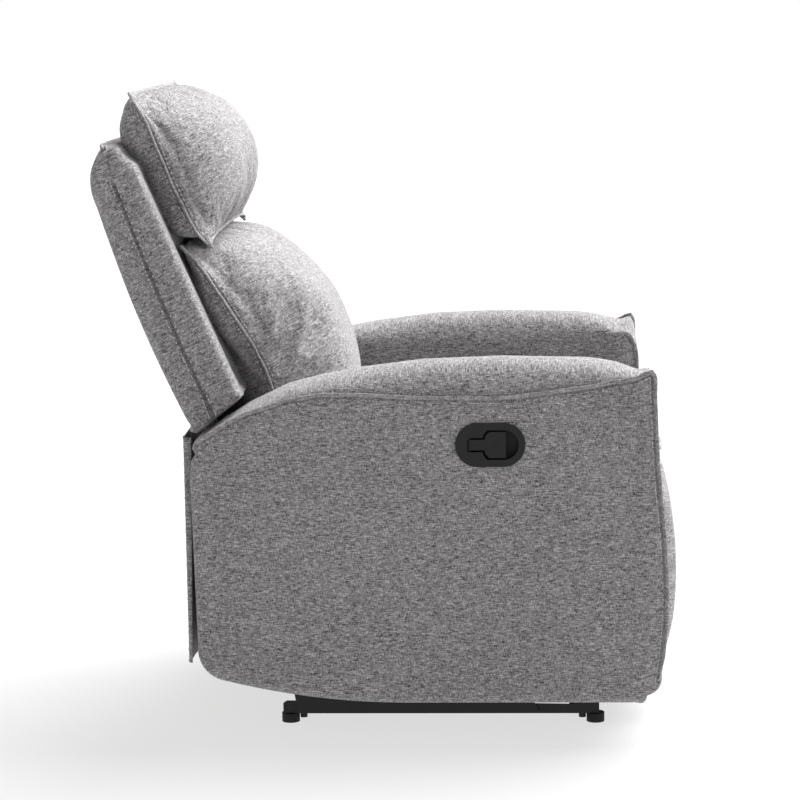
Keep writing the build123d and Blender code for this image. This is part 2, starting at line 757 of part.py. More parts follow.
with BuildPart() as footrest_brackets:
    for side, sign in SIDES:
        with BuildSketch(layer(sign, layer_drive)):
            bar([bracket_lower_pivot, bracket_upper_pivot, (board_rear + 4, 200), (board_rear + 4, 300)],
                bracket_radius)
            with Locations((board_rear - 20, 260)):
                Rectangle(40, 300, mode=Mode.SUBTRACT)
            with Locations(bracket_lower_pivot):
                Circle(running_hole, mode=Mode.SUBTRACT)
            with Locations(bracket_upper_pivot):
                Circle(pin_radius + bracket_pivot_clearance, mode=Mode.SUBTRACT)
        extrude(amount=plate / 2, both=True)
save(footrest_brackets, "footrest_brackets")

with BuildPart() as footrest_board:
    with BuildSketch(Plane.YZ):
        with Locations((board_rear - board_thickness / 2, 240)):
            Rectangle(board_thickness, 370)
    extrude(amount=seat_half_width - 10, both=True)
save(footrest_board, "footrest_board")

# Padded front of the footrest, bowed from top to bottom
with BuildPart() as footrest_pad:
    with BuildSketch(Plane.YZ):
        with BuildLine():
            Line((-421, footrest_top), (-421, footrest_bottom))
            Line((-421, footrest_bottom), (-444, footrest_bottom))
            ThreePointArc((-444, footrest_bottom), (-473, 225), (-446, footrest_top))
            Line((-446, footrest_top), (-421, footrest_top))
        make_face()
    extrude(amount=seat_half_width, both=True)
save(footrest_pad, "footrest_pad")
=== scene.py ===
import json
from math import cos, pi, radians, sin

import bmesh
import bpy
import numpy as np
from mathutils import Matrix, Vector, noise
from mathutils.bvhtree import BVHTree
from mathutils.kdtree import KDTree

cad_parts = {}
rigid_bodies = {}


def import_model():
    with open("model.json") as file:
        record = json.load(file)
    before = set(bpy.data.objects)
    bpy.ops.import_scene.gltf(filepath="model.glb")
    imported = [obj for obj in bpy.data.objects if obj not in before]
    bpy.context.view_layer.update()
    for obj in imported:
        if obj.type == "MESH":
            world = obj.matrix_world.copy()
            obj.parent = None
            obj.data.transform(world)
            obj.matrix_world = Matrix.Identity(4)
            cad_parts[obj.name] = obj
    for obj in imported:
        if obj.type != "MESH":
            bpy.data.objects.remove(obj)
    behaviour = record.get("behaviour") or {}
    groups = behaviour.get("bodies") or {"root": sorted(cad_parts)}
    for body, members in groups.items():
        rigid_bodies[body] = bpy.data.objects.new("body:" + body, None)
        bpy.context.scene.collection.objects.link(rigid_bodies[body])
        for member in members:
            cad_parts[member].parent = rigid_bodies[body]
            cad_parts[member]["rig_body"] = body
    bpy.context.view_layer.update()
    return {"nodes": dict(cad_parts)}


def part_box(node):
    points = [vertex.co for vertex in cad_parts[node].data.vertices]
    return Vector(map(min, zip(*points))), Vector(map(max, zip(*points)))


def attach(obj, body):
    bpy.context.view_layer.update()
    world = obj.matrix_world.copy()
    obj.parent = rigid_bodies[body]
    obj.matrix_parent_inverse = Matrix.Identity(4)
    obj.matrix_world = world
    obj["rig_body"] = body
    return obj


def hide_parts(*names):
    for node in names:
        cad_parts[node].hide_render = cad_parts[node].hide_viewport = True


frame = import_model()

NODES = frame["nodes"]
MM = 0.001
SIDES = (("right", -1), ("left", 1))
scene = bpy.context.scene


# --- materials
class Shader:
    """A node material that is put together with short calls."""

    def __init__(self, name):
        self.material = bpy.data.materials.new(name)
        self.material.use_nodes = True
        self.tree = self.material.node_tree
        self.surface = self.tree.nodes["Principled BSDF"]

    def add(self, kind, inputs=(), **settings):
        node = self.tree.nodes.new("ShaderNode" + kind)
        for key, value in settings.items():
            setattr(node, key, value)
        for key, value in dict(inputs).items():
            self.put(node.inputs[key], value)
        return node

    def put(self, socket, value):
        if isinstance(value, bpy.types.NodeSocket):
            self.tree.links.new(value, socket)
        else:
            socket.default_value = value

    def math(self, operation, *values):
        node = self.add("Math", operation=operation)
        for socket, value in zip(node.inputs, values):
            self.put(socket, value)
        return node.outputs[0]

    def noise(self, vector, scale, detail=2.0, dimensions="3D"):
        inputs = {"Vector": vector, "Scale": scale, "Detail": detail}
        return self.add("TexNoise", inputs, noise_dimensions=dimensions).outputs[0]

    def ramp(self, factor, stops):
        """Colours by position, each stop a (position, (r, g, b))."""
        node = self.add("ValToRGB", {"Fac": factor})
        elements = node.color_ramp.elements
        while len(elements) < len(stops):
            elements.new(0.5)
        for element, (position, colour) in zip(elements, stops):
            element.position = position
            element.color = (*colour, 1)
        return node.outputs[0]

    def mix(self, start, end, share):
        """start where share is 0, end where it is 1."""
        return self.math("MULTIPLY_ADD", self.math("SUBTRACT", end, start), share, start)

    def range(self, value, low, high):
        """A 0 to 1 value spread from low to high."""
        return self.math("MULTIPLY_ADD", value, high - low, low)

    def finish(self, colour, roughness, height, depth, strength=1.0, **constants):
        """Colour, roughness and bump from nodes; whatever is constant goes on the shader's sockets."""
        bump = self.add("Bump", {"Height": height, "Distance": depth, "Strength": strength})
        for key, value in (("Base Color", colour), ("Roughness", roughness), ("Normal", bump.outputs[0])):
            self.put(self.surface.inputs[key], value)
        for key, value in constants.items():
            self.surface.inputs[key.replace("_", " ")].default_value = value
        return self.material


YARN_PITCH = 1.15 * MM
WARP_SLUB, WEFT_SLUB = 0.22, 0.105  # how fast a yarn's colour changes along it, per yarn width
WARP_SHIFT, WEFT_SHIFT = 3.7, 9.1  # where each set of yarns is read from the noise


def woven(name, dark, light, tilt=0.0):
    """Plain-weave melange upholstery. The weave lies in the plane that the surface faces most.

    tilt turns the weave about X, so that it runs square to a back that leans. The mesh's seam attribute
    darkens the fabric where it is drawn in: painted shade, standing for the shadow in the seam grooves.
    """
    s = Shader(name)
    place = s.add("TexCoord")
    turned = []
    for kind, socket in (("POINT", "Object"), ("NORMAL", "Normal")):
        mapping = s.add("Mapping", {"Vector": place.outputs[socket]}, vector_type=kind)
        mapping.inputs["Rotation"].default_value = (tilt, 0, 0)
        turned.append(s.add("SeparateXYZ", {"Vector": mapping.outputs[0]}).outputs)
    (x, y, z), (nx, ny, nz) = turned
    ax, ay, az = (s.math("ABSOLUTE", n) for n in (nx, ny, nz))
    faces_x = s.math("MULTIPLY", s.math("GREATER_THAN", ax, ay), s.math("GREATER_THAN", ax, az))
    faces_z = s.math("MULTIPLY", s.math("GREATER_THAN", az, ax), s.math("GREATER_THAN", az, ay))

    drift = s.math("SUBTRACT", s.noise(place.outputs["Object"], 14.0, 1.0), 0.5)
    u = s.math("MULTIPLY_ADD", drift, 5 * YARN_PITCH, s.mix(x, y, faces_x))
    v = s.math("MULTIPLY_ADD", drift, 4 * YARN_PITCH, s.mix(z, y, faces_z))
    u, v = (s.math("DIVIDE", value, YARN_PITCH) for value in (u, v))
    warp, weft = s.math("FLOOR", u), s.math("FLOOR", v)
    yarns = []
    for index, along, shift, slub in ((warp, v, WARP_SHIFT, WARP_SLUB), (weft, u, WEFT_SHIFT, WEFT_SLUB)):
        key = s.math("MULTIPLY_ADD", index, 7.31, shift)
        spot = s.add("CombineXYZ", {"X": key, "Y": s.math("MULTIPLY", along, slub)})
        yarns.append(s.noise(spot.outputs[0], 1.0, 1.5, "2D"))
    over = s.math("PINGPONG", s.math("ADD", warp, weft), 1.0)  # 1 where the warp is on top
    # Both yarns show, the upper one more
    fibre = s.mix(s.mix(*yarns, 0.58), s.mix(yarns[1], yarns[0], over), 0.55)
    cloudy = s.noise(place.outputs["Object"], 9.0, 3.0)
    fibre = s.math("MULTIPLY_ADD", s.math("SUBTRACT", cloudy, 0.5), 0.05, fibre)
    middle = tuple((d * 1.25 + l) / 2.45 for d, l in zip(dark, light))
    colour = s.ramp(fibre, ((0.34, dark), (0.47, middle), (0.55, middle), (0.68, light)))
    # Painted shade: the seam attribute darkens the colour along the seams, standing for the shadow in their
    # grooves
    painted_seam_shade = s.math("MULTIPLY_ADD", s.add("Attribute", attribute_name="seam").outputs["Fac"], -0.62, 1.0)
    colour = s.add("VectorMath", {0: colour, "Scale": painted_seam_shade}, operation="SCALE").outputs[0]
    # Each yarn is round, and dips where it passes under its neighbour
    ridge_u = s.math("SINE", s.math("MULTIPLY", s.math("FRACT", u), pi))
    ridge_v = s.math("SINE", s.math("MULTIPLY", s.math("FRACT", v), pi))
    height_warp = s.math("MULTIPLY", s.math("POWER", ridge_u, 0.6), s.range(ridge_v, 0.45, 1.0))
    height_weft = s.math("MULTIPLY", s.math("POWER", ridge_v, 0.6), s.range(ridge_u, 0.45, 1.0))
    fuzz = s.noise(place.outputs["Object"], 2600.0, 1.0)
    height = s.math("MULTIPLY_ADD", fuzz, 0.35, s.mix(height_weft, height_warp, over))
    return s.finish(
        colour, s.range(fibre, 0.80, 0.98), height, 0.45 * MM, 0.8,
        Specular_IOR_Level=0.25, Sheen_Weight=0.22, Sheen_Roughness=0.45)


def grained(name, dark, light, scale, rough, depth, metallic=0.0, specular=0.5):
    """Moulded, painted or cast surface: fine grain, with uneven colour and roughness."""
    s = Shader(name)
    place = s.add("TexCoord").outputs["Object"]
    fine = s.noise(place, scale, 3.0)
    broad = s.noise(place, scale / 25, 3.0)
    mixed = s.math("MULTIPLY_ADD", broad, 0.7, s.math("MULTIPLY", fine, 0.3))
    colour = s.ramp(mixed, ((0.3, dark), (0.7, light)))
    return s.finish(
        colour, s.range(mixed, *rough), fine, depth, 0.6,
        Metallic=metallic, Specular_IOR_Level=specular)


PINE_COLOURS = ((0.2, (0.30, 0.17, 0.08)), (0.55, (0.55, 0.36, 0.19)), (0.85, (0.68, 0.49, 0.29)))


def timber(name, along):
    """Pine with grain along one axis."""
    s = Shader(name)
    place = s.add("TexCoord").outputs["Object"]
    stretch = {"X": (3.0, 60.0, 60.0), "Y": (60.0, 3.0, 60.0), "Z": (60.0, 60.0, 3.0)}[along]
    mapping = s.add("Mapping", {"Vector": place, "Scale": stretch}).outputs[0]
    rings = s.add("TexWave", {"Vector": mapping, "Scale": 0.35, "Distortion": 6.0, "Detail": 3.0})
    pores = s.noise(mapping, 6.0, 4.0)
    grain = s.math("MULTIPLY_ADD", pores, 0.45, s.math("MULTIPLY", rings.outputs["Fac"], 0.55))
    return s.finish(s.ramp(grain, PINE_COLOURS), s.range(grain, 0.85, 0.60), grain, 0.3 * MM, 0.5)


def strapped(name):
    """Woven elastic webbing, ribbed across its length."""
    s = Shader(name)
    parts = s.add("SeparateXYZ", {"Vector": s.add("TexCoord").outputs["Object"]}).outputs
    rib = s.math("SINE", s.math("MULTIPLY", parts["X"], 2 * pi / (2.4 * MM)))
    cross = s.math("SINE", s.math("MULTIPLY", parts["Z"], 2 * pi / (1.8 * MM)))
    weave = s.math("MULTIPLY_ADD", s.math("MULTIPLY", rib, cross), 0.5, 0.5)
    colour = s.ramp(weave, ((0.0, (0.03, 0.03, 0.035)), (1.0, (0.14, 0.14, 0.15))))
    return s.finish(colour, s.range(weave, 0.7, 0.9), weave, 0.3 * MM)


BACK_LEAN = radians(23)
FABRIC_DARK, FABRIC_LIGHT = (0.046, 0.044, 0.045), (0.56, 0.54, 0.548)
FABRIC = woven("grey_fabric", FABRIC_DARK, FABRIC_LIGHT)
BACK_FABRIC = woven("grey_fabric_on_the_lean", FABRIC_DARK, FABRIC_LIGHT, tilt=BACK_LEAN)
WELT_FABRIC = woven("grey_fabric_on_the_fold", (0.09, 0.086, 0.089), FABRIC_LIGHT)
THREAD = grained("grey_thread", (0.40, 0.388, 0.392), (0.76, 0.742, 0.75), 1500, (0.6, 0.8), 0.1 * MM)
BLACK_PLASTIC = grained(
    "black_plastic", (0.0035, 0.0035, 0.004), (0.010, 0.010, 0.0115), 1800, (0.44, 0.62), 0.06 * MM,
    specular=0.3)
GLIDE_PLASTIC = grained(
    "glide_plastic", (0.004, 0.004, 0.004), (0.011, 0.011, 0.012), 900, (0.5, 0.75), 0.12 * MM, specular=0.3)
BLACK_STEEL = grained(
    "black_steel", (0.004, 0.004, 0.0045), (0.011, 0.011, 0.012), 1200, (0.38, 0.58), 0.10 * MM, specular=0.3)
ZINC = grained("zinc", (0.34, 0.34, 0.35), (0.62, 0.62, 0.63), 700, (0.28, 0.48), 0.05 * MM, 1.0)
SPRING_STEEL = grained(
    "spring_steel", (0.20, 0.20, 0.21), (0.42, 0.42, 0.43), 800, (0.30, 0.50), 0.05 * MM, 1.0)
WEBBING = strapped("webbing")
PINE = {axis: timber(f"pine_along_{axis.lower()}", axis) for axis in "XYZ"}


# --- reading the frame
SKINS = {}


def tree_of(obj):
    mesh = obj.data
    return BVHTree.FromPolygons([v.co for v in mesh.vertices], [p.vertices for p in mesh.polygons])


def skin_of(node):
    if node not in SKINS:
        SKINS[node] = tree_of(NODES[node])
    return SKINS[node]


def outline(nodes, x, centre, count=1440):
    """The closed (y, z) outline of CAD nodes cut at x, anticlockwise from straight behind the centre."""
    middle, points = Vector((x, *centre)), []
    for step in range(count):
        angle = 2 * pi * step / count
        out = Vector((0, cos(angle), sin(angle)))
        hits = [skin_of(node).ray_cast(middle + out, -out, 1.0)[0] for node in nodes]
        found = [hit for hit in hits if hit is not None]
        if found:
            furthest = max(found, key=lambda hit: (hit - middle).dot(out))
            points.append((furthest.y, furthest.z))
    return np.array(points)


def height_of(node, x, y):
    """The top of a CAD node over a point of the floor, or None beside it."""
    hit = skin_of(node).ray_cast(Vector((x, y, 2)), Vector((0, 0, -1)))[0]
    return None if hit is None else hit.z


# --- paths and shapes
def smoothstep(value):
    value = np.clip(value, 0, 1)
    return value * value * (3 - 2 * value)


def resample(path, count, closed=False):
    """A path's points, spread evenly along its length."""
    path = np.asarray(path, float)
    if closed:
        path = np.vstack([path, path[:1]])
    along = np.concatenate([[0], np.cumsum(np.linalg.norm(np.diff(path, axis=0), axis=1))])
    wanted = np.linspace(0, along[-1], count + closed)[:count]
    return np.stack([np.interp(wanted, along, column) for column in path.T], axis=1)


def curve(points, count):
    """A smooth line through a few points (Catmull-Rom), resampled evenly."""
    p = np.asarray(points, float)
    p = np.vstack([2 * p[0] - p[1], p, 2 * p[-1] - p[-2]])
    t = np.linspace(0, 1, 24, endpoint=False)[:, None]
    runs = [
        0.5 * (2 * b + (c - a) * t + (2 * a - 5 * b + 4 * c - d) * t**2 + (3 * b - a - 3 * c + d) * t**3)
        for a, b, c, d in zip(p, p[1:], p[2:], p[3:])]
    return resample(np.vstack([*runs, p[-2:-1]]), count)


def nearest(path, point):
    return int(np.argmin(np.linalg.norm(path - np.asarray(point), axis=1)))


def stretch(loop, start, end, count):
    """The part of a closed loop from its point nearest start on to its point nearest end."""
    first, last = nearest(loop, start), nearest(loop, end)
    span = (last - first) % len(loop) + 1
    return resample(np.take(loop, range(first, first + span), axis=0, mode="wrap"), count)


def blurred(values, reach):
    """A closed row of values, each averaged with its neighbours."""
    kernel = np.hanning(2 * reach + 3)[1:-1]
    wrapped = np.concatenate([values[-reach:], values, values[:reach]])
    if values.ndim == 1:
        return np.convolve(wrapped, kernel / kernel.sum(), "valid")
    return np.stack([blurred(column, reach) for column in values.T], axis=1)


def unit(vectors):
    return vectors / np.maximum(np.linalg.norm(vectors, axis=-1, keepdims=True), 1e-9)


def ripple(points, wavelength, seed=0.0):
    """Smooth noise from -1 to 1 at each point."""
    shift = Vector((seed, 2.3 * seed, -1.7 * seed))
    return np.array([noise.noise(Vector(p) / wavelength + shift) for p in points])


def distances(points, targets):
    """How far each point is from a set of points, and which of them is nearest."""
    tree = KDTree(len(targets))
    for index, target in enumerate(targets):
        tree.insert(target, index)
    tree.balance()
    found = [tree.find(p) for p in points]
    return np.array([f[2] for f in found]), np.array([f[1] for f in found])


def build(name, points, faces, material, smooth=True):
    """A mesh object from points and faces, closed up and with its normals outward."""
    mesh = bpy.data.meshes.new(name)
    mesh.from_pydata([tuple(p) for p in points], [], faces)
    work = bmesh.new()
    work.from_mesh(mesh)
    bmesh.ops.remove_doubles(work, verts=work.verts, dist=0.05 * MM)
    bmesh.ops.recalc_face_normals(work, faces=work.faces)
    work.to_mesh(mesh)
    work.free()
    mesh.polygons.foreach_set("use_smooth", [smooth] * len(mesh.polygons))
    mesh.materials.append(material)
    obj = bpy.data.objects.new(name, mesh)
    scene.collection.objects.link(obj)
    return obj


def settle(obj, body):
    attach(obj, body)


def vectors(mesh, kind="co"):
    """Each vertex's place, or its normal."""
    flat = np.zeros(len(mesh.vertices) * 3, np.float32)
    mesh.vertices.foreach_get(kind, flat)
    return flat.reshape(-1, 3).astype(float)


def place_vertices(mesh, points):
    mesh.vertices.foreach_set("co", points.astype(np.float32).ravel())
    mesh.update()


def bake(obj):
    """Turn the object's modifiers into its mesh."""
    shown = obj.evaluated_get(bpy.context.evaluated_depsgraph_get())
    mesh = bpy.data.meshes.new_from_object(shown)
    obj.modifiers.clear()
    obj.data = mesh


def onto(tree, points):
    """Points moved to the nearest place on a surface, and the surface's normals there."""
    found = [tree.find_nearest(Vector(p)) for p in points]
    return np.array([f[0] for f in found]), np.array([f[1] for f in found])


def paint_seam_shade(obj, lines, reach):
    """Write how near each point is to a seam, for the fabric to take painted shade there, standing for the
    shadow in the seam's groove.
    """
    away, _ = distances(vectors(obj.data), np.vstack(lines))
    mark = obj.data.attributes.new("seam", "FLOAT", "POINT")
    mark.data.foreach_set("value", np.exp(-((away / reach) ** 2)).astype(np.float32))


def grid_faces(rows, columns, start=0, wrap=False):
    last = columns if wrap else columns - 1
    return [
        (start + r * columns + c, start + r * columns + (c + 1) % columns,
         start + (r + 1) * columns + (c + 1) % columns, start + (r + 1) * columns + c)
        for r in range(rows - 1) for c in range(last)]


def sweep(path, across, up, section, closed=False):
    """Points and faces of a section carried along a path. A section's points are (across, up)."""
    rings = [
        path + a * across + b * up if np.isscalar(a) else path + a[:, None] * across + b[:, None] * up
        for a, b in section]
    points = np.stack(rings, axis=1).reshape(-1, 3)
    columns, rows = len(section), len(path)
    faces = grid_faces(rows, columns, wrap=True)
    if closed:
        faces += [
            ((rows - 1) * columns + c, (rows - 1) * columns + (c + 1) % columns, (c + 1) % columns, c)
            for c in range(columns)]
    else:
        faces += [tuple(range(columns)), tuple(range((rows - 1) * columns, rows * columns))]
    return points, faces


def tube(name, path, radius, material, sides=8):
    """A round wire along a path, carried without twisting."""
    tangent = unit(np.gradient(path, axis=0))
    across = np.zeros_like(path)
    across[0] = unit(np.cross(tangent[0], (0.31, 0.52, 0.79)))
    for k in range(1, len(path)):
        across[k] = unit(across[k - 1] - tangent[k] * across[k - 1].dot(tangent[k]))
    up = np.cross(tangent, across)
    section = [(radius * cos(2 * pi * k / sides), radius * sin(2 * pi * k / sides)) for k in range(sides)]
    return build(name, *sweep(path, across, up, section), material)


def flange(path, outward, width, thickness=4.2 * MM, closed=False, root=2.5 * MM):
    """Points and faces of a folded strip of fabric that stands up from a seam, a little uneven.

    root is how far it reaches back into the cushion.
    """
    width = np.broadcast_to(width, len(path)) * (1 + 0.10 * ripple(path, 14 * MM, 5.0))
    if closed:
        along = np.gradient(np.vstack([path[-1:], path, path[:1]]), axis=0)[1:-1]
    else:
        along = np.gradient(path, axis=0)
    across = unit(np.cross(unit(along), outward))
    wander = 0.35 * thickness * ripple(path, 30 * MM, 9.0)
    path = path + wander[:, None] * across
    half = 0.5 * thickness * (1 + 0.12 * ripple(path, 7 * MM, 2.0))
    section = [(0.5, 1.0), (0.86, 0.75), (1.0, 0.0), (0.86, -0.75), (0.5, -1.0)]
    foot = np.full(len(path), -root)
    ring = [(0.9 * half, foot), *((side * half, rise * width) for rise, side in section), (-0.9 * half, foot)]
    return sweep(path, across, outward, ring, closed)


STITCH_PITCH = 5.6 * MM
STITCH_LENGTH = 4.2 * MM
STITCH_RADIUS = 0.95 * MM


def stitch_row(path, normals, closed=False, radius=STITCH_RADIUS):
    """Points and faces of a row of stitches on a surface."""
    both = np.hstack([path, normals])
    length = np.linalg.norm(np.diff(path, axis=0), axis=1).sum()
    both = resample(both, max(3, int(length / STITCH_PITCH)), closed)
    middle, normal = both[:, :3], unit(both[:, 3:])
    along = unit(np.gradient(middle, axis=0))
    across = unit(np.cross(along, normal))
    rings = [(-0.5, 0.0, -0.3), (-0.28, 1.0, 0.25), (0.28, 1.0, 0.25), (0.5, 0.0, -0.3)]
    points, faces = [], []
    for position, size, rise in rings:
        for turn in range(4):
            angle = pi / 4 + turn * pi / 2
            points.append(
                middle + position * STITCH_LENGTH * along + rise * radius * normal
                + size * radius * (cos(angle) * across + sin(angle) * normal))
    points = np.stack(points, axis=1).reshape(-1, 3)
    for index in range(len(middle)):
        faces += grid_faces(4, 4, 16 * index, wrap=True)
    return points, faces


def gather(name, shapes, material):
    """One object from several (points, faces)."""
    points, faces, count = [], [], 0
    for p, f in shapes:
        points.append(p)
        faces += [tuple(i + count for i in face) for face in f]
        count += len(p)
    return build(name, np.vstack(points), faces, material)


# --- padded slabs: arms and back
def coons(bottom, top, front, rear):
    """A grid of points between four edges. Bottom and top run rearward, front and rear run up."""
    u = np.linspace(0, 1, len(bottom))[None, :, None]
    v = np.linspace(0, 1, len(front))[:, None, None]
    ruled = (1 - v) * bottom[None] + v * top[None] + (1 - u) * front[:, None] + u * rear[:, None]
    corners = (
        (1 - u) * (1 - v) * bottom[0] + u * (1 - v) * bottom[-1] + (1 - u) * v * top[0] + u * v * top[-1])
    return ruled - corners


class Slab:
    """A closed upholstered body: two side faces with one outline, and a padded rim between them.

    edges are the outline's four (y, z) stretches, as coons() takes them. proud(slab, inside, share) gives
    how far the rim stands out of each point of the outline, at a distance inside the nearer side face and a
    share of the way across. relief(points, distance, index, face) gives how far a side face's points stand
    out of its plane, from their distance to the outline, its nearest point and the face's number.
    """

    def __init__(self, edges, x_first, x_second, across, proud, relief):
        self.grid = coons(*edges)
        rows, columns = self.grid.shape[:2]
        ring = (
            [(0, c) for c in range(columns - 1)] + [(r, columns - 1) for r in range(rows - 1)]
            + [(rows - 1, c) for c in range(columns - 1, 0, -1)] + [(r, 0) for r in range(rows - 1, 0, -1)])
        self.loop = np.array([self.grid[r, c] for r, c in ring])
        around = np.roll(self.loop, -1, axis=0) - np.roll(self.loop, 1, axis=0)
        tangent = unit(blurred(unit(around), 3))
        self.normal = np.stack([tangent[:, 1], -tangent[:, 0]], axis=1)
        flat = self.grid.reshape(-1, 2)
        distance, index = distances(
            np.pad(flat, ((0, 0), (1, 0))), np.pad(self.loop, ((0, 0), (1, 0))))
        self.x = (x_first, x_second)
        middle = (x_first + x_second) / 2
        faces_points, self.edge_x = [], []
        for face, x in enumerate(self.x):
            raised = x + np.sign(x - middle) * relief(flat, distance, index, face)
            faces_points.append(np.column_stack([raised, flat]))
            grid_x = raised.reshape(rows, columns)
            self.edge_x.append(np.array([grid_x[r, c] for r, c in ring]))
        rim = []
        for share in across:
            x = (1 - share) * self.edge_x[0] + share * self.edge_x[1]
            inside = np.minimum(abs(x - self.edge_x[0]), abs(x - self.edge_x[1]))
            out = proud(self, inside, share)
            rim.append(np.column_stack([x, self.loop + out[:, None] * self.normal]))
        size = rows * columns
        self.points = np.vstack([*faces_points, *rim])
        self.faces = grid_faces(rows, columns) + grid_faces(rows, columns, size)
        edge = np.array([r * columns + c for r, c in ring])
        rims = [2 * size + k * len(ring) + np.arange(len(ring)) for k in range(len(across))]
        lines = [edge, *rims, edge + size]
        for a, b in zip(lines, lines[1:]):
            for k in range(len(ring)):
                following = (k + 1) % len(ring)
                self.faces.append((a[k], a[following], b[following], b[k]))

    def edge_path(self, start, end, side, back=0.0):
        """3-D points of the outline from one of its points on to another, on one side face.

        back moves them that far inside the outline.
        """
        first, last = nearest(self.loop, start), nearest(self.loop, end)
        picked = np.arange(first, first + (last - first) % len(self.loop) + 1) % len(self.loop)
        flat = self.loop[picked] - back * self.normal[picked]
        return np.column_stack([self.edge_x[side][picked], flat]), self.normal[picked]


def rounded(inside, radius):
    """How far a rounded edge has come out, that far in from the side face."""
    reach = np.clip(inside / radius, 0, 1)
    return radius * np.sqrt(1 - (1 - reach) ** 2)


def domed(share):
    """The padded rim's height across it, as a share of the height in the middle."""
    return max(0.0, 1 - abs(2 * share - 1) ** 2.4) ** 0.62


# --- arms
ARM_CELL = 5 * MM
ARM_EDGE = 13 * MM  # rounding at the rear and along the bottom
ARM_BOW = 5.5 * MM  # how far the padded front stands out of its seams
SEAM_SINK = 5.0 * MM  # how far the covers are drawn in at a seam
WELT_WIDTH = 5.6 * MM
WELT_THICKNESS = 4.6 * MM
FRONT_SWELL = 6 * MM  # how far the arm's front edge bows forward low down, and back higher up
HEEL_RADIUS = 26 * MM  # rounding of the arm's lower front corner
BROW_RADIUS = 62 * MM  # rounding of its upper front corner on the inner side
BROW_WIDTH = 75 * MM  # how far that reaches across the arm
HEEL_FILL = 14 * MM  # fills out the lower front corner, where its two roundings meet
NOSE_DROP, NOSE_REACH = 6 * MM, 70 * MM  # how the crown falls towards its front end
ROLL, ROLL_REACH = 5 * MM, 20 * MM  # how the side faces turn in towards the front seam
CHANNEL_INSET, CHANNEL_DEPTH = 8 * MM, 0.9 * MM  # the sunk row of stitches beside a seam
INNER_WELT_START = np.array((52 * MM, 4 * MM))  # from the upper front corner
WELT_END = np.array((0, 26 * MM))  # from the lower front corner
WELT_LEAN = 0.42  # sideways, against 1 outward

arm_box = {side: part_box(f"arm_outer_panel_{side}") for side, sign in SIDES}
arm_low, arm_high = arm_box["left"]
panel_x = (arm_low.x + arm_high.x) / 2
inner_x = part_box("arm_inner_panel_left")[0].x
arm_loop = outline(["arm_outer_panel_left"], panel_x, ((arm_low.y + arm_high.y) / 2, 0.33))


def extreme(loop, y_weight, z_weight):
    return loop[np.argmax(loop @ np.array((y_weight, z_weight)))]


def quarters(loop, corners, cell, insets, eased=0):
    """A closed outline's four edges, as coons() takes them, moved inside it by a width for each edge.

    corners are front_top, front_bottom, rear_bottom, rear_top; insets are for top, front, bottom, rear. The
    lower front corner is smoothed over that many cells each way.
    """
    front_top, front_bottom, rear_bottom, rear_top = corners
    stops = (rear_top, front_top, front_bottom, rear_bottom, rear_top)
    columns = int(np.linalg.norm(rear_top - front_top) / cell) + 1
    rows = int(np.linalg.norm(front_top - front_bottom) / cell) + 1
    counts = (columns, rows, columns, rows)
    path = np.vstack([stretch(loop, a, b, count)[:-1] for a, b, count in zip(stops, stops[1:], counts)])
    width = np.concatenate([np.full(count - 1, inset) for inset, count in zip(insets, counts)])
    around = blurred(unit(np.roll(path, -1, axis=0) - np.roll(path, 1, axis=0)), 3)
    outward = unit(np.column_stack([around[:, 1], -around[:, 0]]))
    path = path - blurred(width, 2)[:, None] * outward
    if eased:
        from_corner = np.abs(np.arange(len(path)) - (columns + rows - 2))
        path += smoothstep(2 - from_corner / eased)[:, None] * (blurred(path, eased) - path)
    path = np.vstack([path, path[:1]])
    starts = np.cumsum([0] + [count - 1 for count in counts])
    top, front, bottom, rear = (path[a:b + 1] for a, b in zip(starts, starts[1:]))
    return bottom, top[::-1], front[::-1], rear


arm_corners = [extreme(arm_loop, *way) for way in ((-1, 1), (-1, -1), (1, -1), (1, 0.5))]
# The front seam stands just behind the padded front's face; the rear and bottom edges are rounded
pad_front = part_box("arm_front_pad_left")[0].y
seam_forward = (arm_low.y - pad_front) - ARM_BOW
arm_edges = quarters(arm_loop, arm_corners, ARM_CELL, (-1.5 * MM, -seam_forward, ARM_EDGE, ARM_EDGE), 5)
columns, rows = len(arm_edges[0]), len(arm_edges[2])
corner_fb, corner_rb = arm_edges[0][0], arm_edges[0][-1]
corner_ft, corner_rt = arm_edges[1][0], arm_edges[1][-1]


def arm_rise(slab):
    """The padded crown's height over the seam, the front's bow, and the rounding, round the outline."""
    y, z = slab.loop.T
    crown, bow, edge = (np.zeros(len(y)) for _ in range(3))
    bottom_count, side_count = columns - 1, rows - 1
    top_start = bottom_count + side_count
    front_start = top_start + bottom_count
    middle = (inner_x + arm_high.x) / 2
    for k in range(top_start, front_start):
        top = height_of("arm_top_pad_left", middle, y[k])
        nose = NOSE_DROP * float(smoothstep(1 - (y[k] - y[front_start]) / NOSE_REACH))
        crown[k] = max(0.0, (top or z[k]) - z[k] - nose)
    share = np.linspace(0, 1, side_count)
    bow[front_start:] = ARM_BOW * smoothstep(share * 9)
    edge[:top_start] = ARM_EDGE
    edge[top_start - 3:top_start] *= 0.4
    edge[:3] += HEEL_FILL * (1 - np.arange(3) / 3)
    edge[-6:] += HEEL_FILL * (np.arange(6) + 1) / 7
    return blurred(crown, 3), blurred(bow, 3), blurred(edge, 3)


def arm_proud(slab, inside, share):
    if not hasattr(slab, "rise"):
        slab.rise = arm_rise(slab)
    crown, bow, edge = slab.rise
    return (crown + bow) * domed(share) + rounded(inside, ARM_EDGE) * edge / ARM_EDGE


